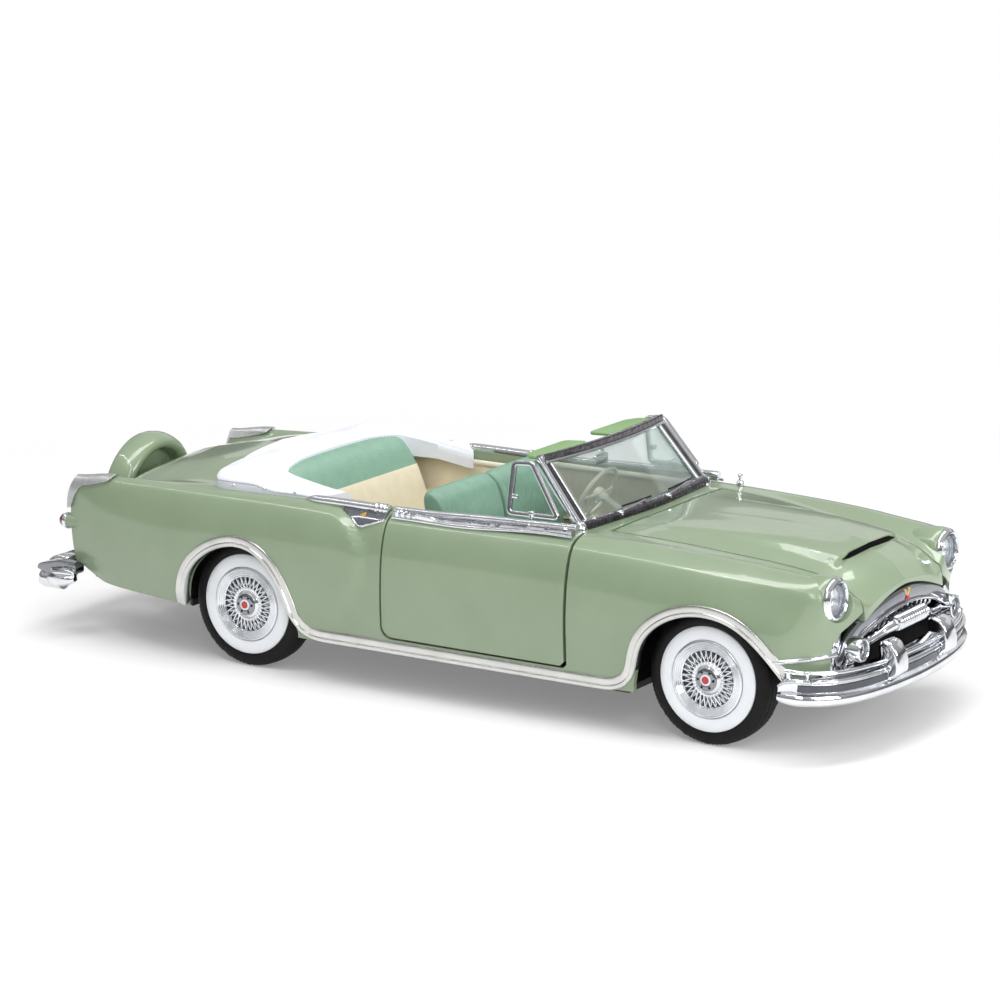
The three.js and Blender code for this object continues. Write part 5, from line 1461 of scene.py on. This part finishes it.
def make_screen_furniture():
    """The mirror, the two sun visors and the wipers."""
    low, high = node_box("mirror")
    x, z = (low[0] + high[0]) / 2, low[2] + 1.3
    glass = rounded([(-3.0, z - 1.3), (3.0, z - 1.3), (3.0, z + 1.3), (-3.0, z + 1.3)], 0.8, 5)
    mirror = Piece("rear_view_mirror").add(plate(glass, x - 0.2, x + 0.6, "YZ", 0.25, 3), CHROME)
    inset = rounded([(-2.6, z - 0.95), (2.6, z - 0.95), (2.6, z + 0.95), (-2.6, z + 0.95)], 0.6, 5)
    mirror.add(plate(inset, x - 0.45, x - 0.1, "YZ", 0.1), SATIN)
    stem = curve([(x + 0.3, 0, z + 0.6), (x + 0.6, 0, z + 2), (x + 0.2, 0, high[2])], 12)
    mirror.add(sweep(stem, disc(0.4, 10), (1, 0, 0)), CHROME)
    mirror.make("body", "chrome_plate", "mirror")
    for side, turn in SIDES.items():
        low, high = node_box("sun_visor_left")
        rear, front = low[0] + 0.4, high[0] + 0.2
        shape = rounded([(rear, low[1] + 0.6), (front, low[1]), (front, high[1] + 0.6),
                         (rear + 2.4, high[1] + 0.4), (rear, high[1] - 3)], 1.4, 6)
        sheet = plate(shape, -0.4, 0.4, "XY", 0.3, 3)
        hung = moved(turned(sheet, "Y", -4, (front, 0, 0)), 0, 0, 59.6)
        visor = Piece(f"visor_{side}").add(turn(hung), VISOR)
        edge = sweep([(front - 0.1, y, 59.3) for y in np.linspace(low[1] + 0.5, high[1] - 0.5, 20)],
                     disc(0.45, 10))
        visor.add(turn(edge), CREAM)
        visor.make("body", "green_seat", f"sun_visor_{side}")
    wipers = Piece("wiper_arms")
    for start, end in ((-0.5, -0.1), (0.24, 0.66)):
        arm = [on_pane(a, 0.05 + 0.05 * (a - start) / (end - start), 1.0)
               for a in np.linspace(start, end, 16)]
        wipers.add(sweep(arm, disc(0.32, 8)), CHROME)
        blade = [on_pane(a, 0.12, 0.8) for a in np.linspace(start + 0.08, end + 0.12, 16)]
        wipers.add(sweep(blade, bar_section(0.14, 0.24, 0.08), (0, 0, 1)), BLACK)
        pivot = lathe([(0, -0.6), (0.7, -0.6), (0.75, 0.2), (0.4, 0.6), (0, 0.6)], 16, "Z")
        wipers.add(moved(pivot, *on_pane(start, 0.04, 1.2)), CHROME)
    wipers.make("body", "chrome_plate", "wipers")
    low, high = node_box("aerial")
    x, y = (low[0] + high[0]) / 2, (low[1] + high[1]) / 2
    mast = [(0, -0.2), (0.95, -0.2), (0.95, 0.3), (0.75, 0.8), (0.4, 1.0), (0.35, 1.6), (0.62, 1.9),
            (0.65, 2.2), (0.4, 2.6), (0, 2.75)]
    stub = Piece("aerial_stub").add(moved(lathe(mast, 24, "Z"), x, y, low[2]), CHROME)
    stub.make("body", "chrome_plate", "aerial")


# ---------------------------------------------------------------- cabin
def upholstery(outline, y0, y1, pitch, depth, pleated):
    """A padded block: an (x, z) outline drawn across the car, crowned at its ends, with sewn pleats where
    pleated(x, z) says so."""
    swell, end = 0.6, 1.6
    ring = even(np.array([*outline, outline[0]], float), 97)[:-1]
    centre = ring.mean(axis=0)
    ahead = np.roll(ring, -1, axis=0) - np.roll(ring, 1, axis=0)
    ahead /= np.linalg.norm(ahead, axis=1, keepdims=True)
    out = np.column_stack([ahead[:, 1], -ahead[:, 0]])
    if np.sum(out * (ring - centre)) < 0:
        out = -out
    share = np.array([pleated(x, z) for x, z in ring], float)[:, None]
    ys = [y0 + end * (1 - math.cos(a)) for a in np.linspace(0.12, math.pi / 2, 7)][:-1]
    ys += list(np.arange(y0 + end, y1 - end, pitch / 6))
    ys += [y1 - end * (1 - math.cos(a)) for a in np.linspace(math.pi / 2, 0.12, 7)]
    rings = []
    for y in ys:
        inset = min(y - y0, y1 - y)
        corner = end * (1 - math.sqrt(max(0.0, 1 - (1 - min(1, inset / end)) ** 2)))
        pleat = depth * (abs(math.sin(math.pi * (y - (y0 + y1) / 2) / pitch)) ** 0.6 - 1)
        crown = swell * math.cos(math.pi * (y - (y0 + y1) / 2) / (y1 - y0)) - swell
        x, z = (ring + out * (pleat * share - corner + crown * share * 0.3)).T
        rings.append(np.column_stack([x, np.full(len(ring), y), z]))
    return lofted(rings)


def seat_back(x, z, height, thick):
    """The side view of a seat back that leans back and rolls over at its top."""
    top = z + height
    return curve([(x + thick * 0.55, z), (x + thick * 0.5, z + height * 0.5), (x + thick * 0.25, top - 3.4),
                  (x - 0.6, top - 0.7), (x - 2.6, top), (x - 4.4, top - 1.2), (x - 4.6, top - 4),
                  (x - 3.2, z + height * 0.4), (x - 2.4, z)], 60)


SEAT_HALF = 26


def split_colours(made, boundary):
    """Gives the lower faces of a padded piece its second material."""
    for polygon in made.data.polygons:
        c = polygon.center
        if boundary(c[0] / MM, c[1] / MM, c[2] / MM):
            polygon.material_index = 1


def make_seats():
    """Two padded seats: green above, beige below, with sewn pleats where people sit."""
    half = 25.6
    back = curve([(-33.6, 26), (-36, 32), (-38.8, 39), (-41.6, 44), (-44.6, 47), (-47.4, 48.2),
                  (-49.6, 47.8), (-50, 45.6), (-46, 41), (-43.4, 34), (-42, 26)], 60)
    rear = Piece("rear_seat_cushions")
    rear.add(upholstery(back, -half, half, 1.15, 0.34, lambda x, z: smooth((z - 40.6) / 1.0)), GREEN_SEAT)
    base = rounded([(-42, 18), (-23, 18), (-21.8, 21), (-21.8, 27), (-23.2, 29.4), (-30, 30), (-42, 28.6)],
                   2.2, 6)
    rear.add(upholstery(base, -SEAT_HALF, SEAT_HALF, 1.15, 0.3, lambda x, z: smooth((z - 28) / 0.8)), BEIGE)
    made = rear.make("body", "green_seat", "rear_seat", angle=60)
    split_colours(made, lambda x, y, z: z < 40.7)
    low, high = node_box("front_seat")

    def facing_pleats(x, z):
        return smooth((z - 34) / 1.0) * smooth((x + 5.8) / 1.2)

    seat = Piece("front_seat_cushions")
    back = seat_back(-0.6, low[2] + 8.6, high[2] - low[2] - 8.6, 8)
    for y0, y1 in ((-SEAT_HALF, -0.5), (0.5, SEAT_HALF)):
        seat.add(upholstery(back, y0, y1, 1.1, 0.32, facing_pleats), GREEN_SEAT)
    seat.materials.append(BEIGE)
    base = rounded([(0, 18), (19.4, 18), (20.6, 20.6), (20.6, 26), (19, 28.3), (12, 28.8), (0, 27.4)], 2.2,
                   6)
    seat.add(upholstery(base, -SEAT_HALF, SEAT_HALF, 1.1, 0.3, lambda x, z: smooth((z - 27) / 0.8)),
             GREEN_SEAT)
    made = seat.make("body", "green_seat", "front_seat", angle=60)
    split_colours(made, lambda x, y, z: z < 25.5 or (x < -4.6 and z < 44))


def pleated_wall(x0, x1, z0, z1, y, thick, pitch=2.1, depth=0.28):
    """An upright trim panel on the car's left with sewn pleats on the side that faces the cabin."""
    columns = max(8, int((x1 - x0) / pitch * 8))
    rows = 12
    front, back = [], []
    for u in np.linspace(0, 1, rows):
        for v in np.linspace(0, 1, columns):
            x, z = x0 + (x1 - x0) * v, z0 + (z1 - z0) * u
            edge = float(smooth(min(v, 1 - v) * (x1 - x0) / 1.2) * smooth(min(u, 1 - u) * (z1 - z0) / 1.2))
            rib = depth * (abs(math.sin(math.pi * (x - x0) / pitch)) ** 0.6)
            front.append((x, y - (rib + 0.15) * edge, z))
            back.append((x, y + thick, z))
    return slab(front, back, rows, columns)


def crank(x, y, z):
    """A window crank on the car's left: a boss, an arm and a knob."""
    boss = lathe([(0, 0.3), (1.0, 0.2), (0.9, -0.5), (0.4, -0.8), (0, -0.8)], 18, "Y")
    arm = sweep(curve([(0, -0.6, 0), (1.6, -0.9, -0.5), (3.2, -0.7, -0.9)], 10), disc(0.34, 8, 0.8))
    knob = lathe([(0, -1.9), (0.5, -1.8), (0.55, -1.0), (0.3, -0.7), (0, -0.7)], 14, "Y")
    return [moved(boss, x, y, z), moved(arm, x, y, z), moved(knob, x + 3.2, y, z - 0.9)]


def make_cabin_lining():
    """Carpets, the tunnel's hump, pleated side panels and the box round the rear seat."""
    floor_z = node_box("interior_tub")[0][2]
    tub = Piece("cabin_lining")
    tub.add(brick(-31, 38.2, -31.4, 31.4, floor_z + 0.1, floor_z + 1.2, 0.3), CARPET)
    tub.add(brick(-45.8, -30, -27, 27, floor_z + 0.1, floor_z + 1.2, 0.3), CARPET)
    hump = rounded([(-3.4, floor_z + 1), (3.4, floor_z + 1), (2.8, floor_z + 4.2), (-2.8, floor_z + 4.2)],
                   1.4, 5)
    tub.add(plate(hump, -45, 37.6, "YZ", 0.5), CARPET)
    tub.add(brick(37.3, 38.3, -29.8, 29.8, floor_z + 0.4, 27.6, 0.3), CARPET)
    for y in np.linspace(-24, 24, 7):
        tub.add(sweep([(x, y, floor_z + 1.25) for x in np.linspace(8, 35, 8)], disc(0.3, 6)), CARPET)
    tub.both(brick(-45.8, -30.8, 26.5, 27.6, floor_z + 0.4, 33.4, 0.3), BEIGE)
    tub.both(brick(-45.8, -30.6, 26.6, 30.9, 32.3, 33.3, 0.3), BEIGE)
    tub.both(brick(-31.7, -30.7, 26.6, 30.9, floor_z + 0.4, 33.3, 0.3), BEIGE)
    tub.both(pleated_wall(-45.6, -9.2, 33.2, 41.4, 30.2, 0.7, 400, 0.25), BEIGE)
    tub.both(pleated_wall(-30.4, -9.2, floor_z + 1, 33.4, 30.2, 0.7, 2.1), BEIGE)
    tub.both(sweep([(x, 30.3, 41.7) for x in np.linspace(-45.5, -9.2, 12)], disc(0.75, 12)), CREAM)
    tub.add(brick(-45.9, -44.9, -30.8, 30.8, 32.4, 41, 0.4), BEIGE)
    tub.add(brick(-45.9, -44.9, -27.4, 27.4, floor_z + 0.4, 33, 0.3), BEIGE)
    for shape in crank(-20.5, 30, 37.4):
        tub.both(shape, CHROME)
    tub.make("body", "beige_plastic", "interior_tub")


def make_door_linings():
    low, high = node_box("door_panel_left")
    for side, turn in SIDES.items():
        y = COCKPIT_HALF - 0.2
        lining = Piece(f"door_lining_{side}")
        lining.add(turn(pleated_wall(low[0], high[0], low[2], 43, y, 0.8, 2.1)), TAN)
        cap = [(x, y + 0.1, 43.7) for x in np.linspace(low[0], high[0], 16)]
        lining.add(turn(sweep(cap, disc(0.75, 12))), CREAM)
        strip = [(x, y - 0.3, 30.2) for x in np.linspace(low[0] + 0.5, high[0] - 0.5, 14)]
        lining.add(turn(sweep(strip, disc(0.4, 8))), CHROME)
        rest = rounded([(low[0] + 9, 30.4), (low[0] + 27, 30.4), (low[0] + 26, 32.4), (low[0] + 10, 32.4)],
                       0.7, 4)
        lining.add(turn(plate(rest, y - 2.0, y, "XZ", 0.5, 3)), BEIGE)
        for shape in crank(20, y, 35.6) + crank(30, y, 36):
            lining.add(turn(shape), CHROME)
        lining.make(f"door_{side}", "beige_plastic", f"door_panel_{side}")


def make_dashboard():
    """A padded green top over a cream face with a cluster, a radio grille and a glove box lid."""
    half = 29.4
    face_x = 29.3
    dash = Piece("dashboard_detail")
    face = rounded([(37, 28.2), (30.4, 31.2), (29.7, 35), (29.8, 38.4), (31, 39.6), (37, 39.6)], 1.0, 5)
    dash.add(plate(face, -half, half, "XZ", 0.5, 3), CREAM)
    top = rounded([(30.2, 39), (29.8, 40.4), (31.4, 42), (38.8, 43), (39.2, 42), (38.6, 39)], 0.9, 5)
    dash.add(plate(top, -half, half, "XZ", 0.6, 3), GREEN_SEAT)
    rim = sweep([(30, y, 39.2) for y in np.linspace(-28.6, 28.6, 20)], disc(0.4, 10))
    dash.add(rim, CHROME)
    cluster = rounded([(8, 33), (20, 33), (20.6, 35.4), (19.4, 38.2), (8.6, 38.2), (7.4, 35.4)], 1.2, 5)
    dash.add(plate(cluster, 28.8, 30.2, "YZ", 0.3, 3), CHROME)
    for y in (10.6, 14, 17.4):
        dial = lathe([(0, -0.5), (1.3, -0.5), (1.45, 0), (1.2, 0.3), (0, 0.3)], 24, "X")
        dash.add(moved(dial, 28.7, y, 35.7), DARK)
        ring = lathe([(1.2, -0.7), (1.55, -0.6), (1.55, 0.3), (1.2, 0.3)], 24, "X")
        dash.add(moved(ring, 28.7, y, 35.7), CHROME)
    for k in range(9):
        y = -4.4 + 1.1 * k
        dash.add(sweep([(face_x, y, 33), (29.2, y, 35.5), (face_x, y, 38)], disc(0.3, 8), (1, 0, 0)),
                 CHROME)
    lid = rounded([(-22, 32.6), (-8, 32.6), (-8, 38), (-22, 38)], 0.8, 4)
    dash.add(plate(lid, 29.0, 30.2, "YZ", 0.3, 3), CREAM)
    dash.add(moved(lathe([(0, -0.8), (0.6, -0.7), (0.6, 0.2), (0, 0.2)], 14, "X"), 28.9, -15, 36.8), CHROME)
    knob = lathe([(0, -1), (0.5, -0.9), (0.55, -0.2), (0.3, 0.2), (0, 0.2)], 14, "X")
    for y in (24, 26.4, -24.6, 5.9):
        dash.add(moved(knob, face_x, y, 34.4), CHROME)
    dash.make("body", "cream_plastic", "dashboard")


def make_steering_wheel():
    """A thin ring with a half horn ring and three spokes, on a raked column."""
    tilt, centre = -62, (20, 14, 42.6)
    ring = [(7.0 * math.cos(a), 7.0 * math.sin(a), 0) for a in np.linspace(0, 2 * math.pi, 73)[:-1]]
    horn = [(4.6 * math.cos(a), 4.6 * math.sin(a), 0.1)
            for a in np.linspace(math.pi * 0.55, math.pi * 1.45, 30)]
    column = lathe([(0, -9.4), (0.85, -9.4), (0.85, -3), (1.2, -2.4), (1.3, -0.8), (0, -0.8)], 20, "Z")
    boss = lathe([(0, -1.2), (1.5, -1.2), (1.7, -0.4), (1.5, 0.4), (0.9, 0.75), (0, 0.85)], 28, "Z")
    wheel = Piece("steering_wheel_detail")

    def place(shape):
        return moved(turned(shape, "Y", tilt), *centre)

    wheel.add(place(sweep(ring, disc(0.52, 12), closed=True)), CREAM)
    wheel.add(place(sweep(horn, disc(0.2, 8))), CHROME)
    for degrees in (90, 180, 270):
        a = math.radians(degrees)
        spoke = [(r * math.cos(a), r * math.sin(a), -0.15 - 0.35 * math.sin(math.pi * r / 7))
                 for r in np.linspace(0.8, 6.9, 8)]
        wheel.add(place(sweep(spoke, disc(0.42, 10, 0.7))), CREAM)
    wheel.add(place(column), CREAM).add(place(boss), CREAM)
    stalk = curve([(0, 0, -3), (0, -2.4, -2.4), (0, -4.4, -2.2)], 8)
    wheel.add(place(sweep(stalk, disc(0.25, 8), (1, 0, 0))), CHROME)
    wheel.make("body", "cream_plastic", "steering_wheel")


# ---------------------------------------------------------------- engine bay and underside
def make_engine():
    """A straight eight under the hood: block, ribbed cover, air cleaner, fan, radiator and battery."""
    base = node_box("engine")[0][2]
    fan = (90.6, 0, 27)
    cylinders, pitch = 8, 3.2
    wall = (56.4, 98.4)
    bay = Piece("engine_detail")
    bay.add(brick(62, 88, -5.6, 5.6, base, 31, 0.8, 3), ENGINE_PAINT)
    bay.add(brick(61, 88.6, -6.2, 6.2, 29.4, 30.6, 0.4, 3), ENGINE_PAINT)
    bay.add(brick(62.4, 87.6, -3.6, 3.6, 31, 34.2, 1.2, 4), ENGINE_PAINT)
    for k in range(cylinders):
        x = 64 + pitch * k
        plug = lathe([(0, 0), (0.5, 0), (0.5, 0.8), (0.3, 1.4), (0, 1.5)], 10, "Z")
        bay.add(moved(plug, x, 4.7, 30.8), CREAM)
        lead = curve([(x, 4.7, 32), (x + 0.6, 4.2, 34.4), (76, 3.8, 35.2)], 12)
        bay.add(sweep(lead, disc(0.22, 6)), BLACK)
        bay.add(sweep(curve([(x, -5.4, 29), (x, -8, 28.6), (x + 0.8, -9, 27)], 8), disc(0.8, 10)), STEEL)
        bay.add(brick(x - 0.25, x + 0.25, -3.2, 3.2, 34, 34.5, 0.1), ENGINE_PAINT)
    bay.add(sweep([(x, -9, 26.6) for x in np.linspace(62, 90, 16)], disc(1.1, 14)), STEEL)
    cleaner = [(0, 0), (2, 0), (4.6, 0.3), (5, 0.8), (5, 2.6), (4.7, 3), (3.4, 3.2), (3.2, 3.7), (0.8, 3.9),
               (0.7, 4.3), (0, 4.35)]
    bay.add(moved(lathe(cleaner, 48, "Z"), 76, 0, 34.8), BLACK)
    for x in (94.6, 97):
        bay.add(brick(x, x + 0.7, -15, 15, 16, 36, 0.2), BLACK)
    bay.add(brick(94.8, 97.6, -14.6, 14.6, 34.6, 37, 0.8, 3), BLACK)
    bay.add(brick(94.8, 97.6, -14.6, 14.6, 15.8, 18, 0.8, 3), BLACK)
    for y in np.linspace(-13.6, 13.6, 30):
        bay.add(brick(95, 97.4, y - 0.12, y + 0.12, 18, 34.8, 0), STEEL)
    for k in range(4):
        blade = rounded([(0.6, -0.8), (4.8, -1.2), (4.8, 1.2), (0.6, 0.8)], 0.5)
        shape = turned(turned(plate(blade, -0.2, 0.2, "YZ", 0.1), "Z", 20), "X", 90 * k)
        bay.add(moved(shape, *fan), STEEL)
    bay.add(moved(lathe([(0, -3), (1.2, -3), (1.3, 0.6), (0, 0.8)], 20, "X"), *fan), STEEL)
    bay.add(sweep(curve([(94.8, 4, 34.8), (91, 3.6, 35.6), (87, 2, 33.4)], 14), disc(0.9, 12)), BLACK)
    bay.add(sweep(curve([(94.8, -6, 19), (91, -7, 20), (87, -5, 23)], 14), disc(0.9, 12)), BLACK)
    bay.add(brick(50.4, 57, 12, 20, 30, 36.4, 0.5, 3), BLACK)
    for y in (13.6, 18.4):
        bay.add(moved(lathe([(0, 0), (0.7, 0), (0.6, 1), (0, 1)], 12, "Z"), 53, y, 36.3), STEEL)
    bay.both(brick(*wall, 19.6, 20.4, 20.4, 38.6, 0.3), BLACK)
    bay.both(sweep([(x, 20, 38.6) for x in np.linspace(*wall, 12)], disc(0.5, 10)), BLACK)
    bay.make("body", "engine_paint", "engine")


def dress_frame_nodes():
    """The underside's nodes stay as they are, with their own finishes."""
    finishes = {"chassis": BLACK, "rear_axle": STEEL, "tie_rod": STEEL, "knuckle": STEEL, "screw": STEEL}
    for name, node in frame["nodes"].items():
        for start, finish in finishes.items():
            if name.startswith(start):
                for slot in node.material_slots:
                    slot.material = finish


# ---------------------------------------------------------------- floor, light and camera
def paper():
    """White paper that is lit near the car and glows evenly beyond, as a sweep of background paper does.
    Near the car it glows a little too: painted light that lightens the car's shadow on it.
    """
    look = Look("floor_paper", Specular_IOR_Level=0.2)
    look.mottle(300, (0.9, 0.9, 0.9, 1), (0.93, 0.93, 0.93, 1))
    look.gloss(40, 0.55, 0.65)
    reach = look.node("ShaderNodeVectorMath", operation="LENGTH")
    look.feed(look.place, reach.inputs[0])
    glow = look.node("ShaderNodeEmission")
    glow.inputs["Strength"].default_value = 1.0
    mixed = look.node("ShaderNodeMixShader")
    # Even next to the car about a fifth of the floor's colour is glow: painted light that lifts the shadow
    # under the car.
    look.feed(look.spread(reach.outputs["Value"], 0.15, 0.32, 0.22, 1), mixed.inputs["Fac"])
    look.feed(look.shader.outputs[0], mixed.inputs[1])
    look.feed(glow.outputs[0], mixed.inputs[2])
    look.feed(mixed.outputs[0], look.output.inputs["Surface"])
    return look.material


def make_stage():
    """A wide pale floor."""
    reach = 3.0  # metres
    mesh = bpy.data.meshes.new("floor")
    corners = [(-reach, -reach, 0), (reach, -reach, 0), (reach, reach, 0), (-reach, reach, 0)]
    mesh.from_pydata(corners, [], [[0, 1, 2, 3]])
    mesh.materials.append(paper())
    floor = bpy.data.objects.new("floor", mesh)
    bpy.context.scene.collection.objects.link(floor)


# Places, aims and sizes of lights are in millimetres, and powers in watts.
def area_light(name, place, aim, width, height, power):
    data = bpy.data.lights.new(name, "AREA")
    data.shape = "RECTANGLE"
    data.size, data.size_y = width * MM, height * MM
    data.energy = power
    lamp = bpy.data.objects.new(name, data)
    lamp.location = Vector(place) * MM
    lamp.rotation_euler = (Vector(aim) - Vector(place)).to_track_quat("-Z", "Y").to_euler()
    bpy.context.scene.collection.objects.link(lamp)


# How bright the room is, by the height of the direction looked in: a dark band stands near the horizon.
ROOM = [(0.0, 0.6), (0.5, 0.6), (0.512, 0.1), (0.56, 0.12), (0.6, 0.3), (0.7, 0.42), (0.85, 0.5),
        (1.0, 0.6)]


def make_room():
    """A white room to the camera, and to reflections one with a dark band near the horizon."""
    world = bpy.data.worlds.new("studio")
    bpy.context.scene.world = world
    world.use_nodes = True
    nodes, links = world.node_tree.nodes, world.node_tree.links
    sky = nodes["Background"]
    place = nodes.new("ShaderNodeTexCoord")
    parts = nodes.new("ShaderNodeSeparateXYZ")
    height = nodes.new("ShaderNodeMapRange")
    height.inputs["From Min"].default_value = -1
    ramp = nodes.new("ShaderNodeValToRGB").color_ramp
    while len(ramp.elements) < len(ROOM):
        ramp.elements.new(0.5)
    for element, (position, value) in zip(ramp.elements, ROOM):
        element.position = position
        element.color = (value, value, value, 1)
    bright = next(n for n in nodes if n.type == "VALTORGB")
    path = nodes.new("ShaderNodeLightPath")
    backdrop = nodes.new("ShaderNodeBackground")
    mixed = nodes.new("ShaderNodeMixShader")
    links.new(place.outputs["Generated"], parts.inputs["Vector"])
    links.new(parts.outputs["Z"], height.inputs["Value"])
    links.new(height.outputs["Result"], bright.inputs["Fac"])
    links.new(bright.outputs["Color"], sky.inputs["Color"])
    links.new(path.outputs["Is Camera Ray"], mixed.inputs["Fac"])
    links.new(sky.outputs[0], mixed.inputs[1])
    links.new(backdrop.outputs[0], mixed.inputs[2])
    links.new(mixed.outputs[0], nodes["World Output"].inputs["Surface"])
    backdrop.inputs["Color"].default_value = (1, 1, 1, 1)


def make_light():
    make_room()
    area_light("top_box", (40, -20, 620), (0, 0, 0), 900, 190, 3.0)
    area_light("back_strip", (-100, 800, 330), (0, 0, 40), 1300, 200, 0.3)
    area_light("streak", (-120, -300, 520), (0, -30, 40), 1400, 16, 0.8)
    area_light("front_box", (420, -520, 420), (40, 0, 20), 260, 360, 1.0)
    area_light("nose_box", (720, -80, 280), (100, 0, 30), 320, 220, 2.4)
    view = bpy.context.scene.view_settings
    view.view_transform = "Standard"
    view.look = "None"


def make_camera():
    """A long lens, a little above the car and off its right front corner."""
    azimuth, elevation, distance = math.radians(32.31), math.radians(13.0), 1001.0
    aim = Vector((-0.4, 0, 40.5))
    back = Vector((math.sin(azimuth) * math.cos(elevation), -math.cos(azimuth) * math.cos(elevation),
                   math.sin(elevation)))
    data = bpy.data.cameras.new("camera")
    data.lens = 147.6
    data.sensor_width = 36
    data.shift_x, data.shift_y = 0.0037, 0.0016
    data.clip_start, data.clip_end = 0.01, 20
    camera = bpy.data.objects.new("camera", data)
    camera.location = (aim + back * distance) * MM
    camera.rotation_euler = (-back).to_track_quat("-Z", "Y").to_euler()
    bpy.context.scene.collection.objects.link(camera)
    bpy.context.scene.camera = camera


make_casting()
make_wheels()
make_mouldings()
make_headlights()
make_tail_lamps()
make_front_bumper()
make_fender_strips()
make_rear_bumper()
make_grille()
make_fin_caps()
make_quarter_trims()
make_door_trims()
make_vent_windows()
make_spare()
make_boot_cover()
make_windshield()
make_screen_furniture()
make_seats()
make_cabin_lining()
make_door_linings()
make_dashboard()
make_steering_wheel()
make_engine()
dress_frame_nodes()
make_stage()
make_light()
make_camera()

# The solids that were only cutters or blanks.
for spare_solid in [o for o in bpy.data.objects if o.name.startswith("solid")]:
    bpy.data.objects.remove(spare_solid)
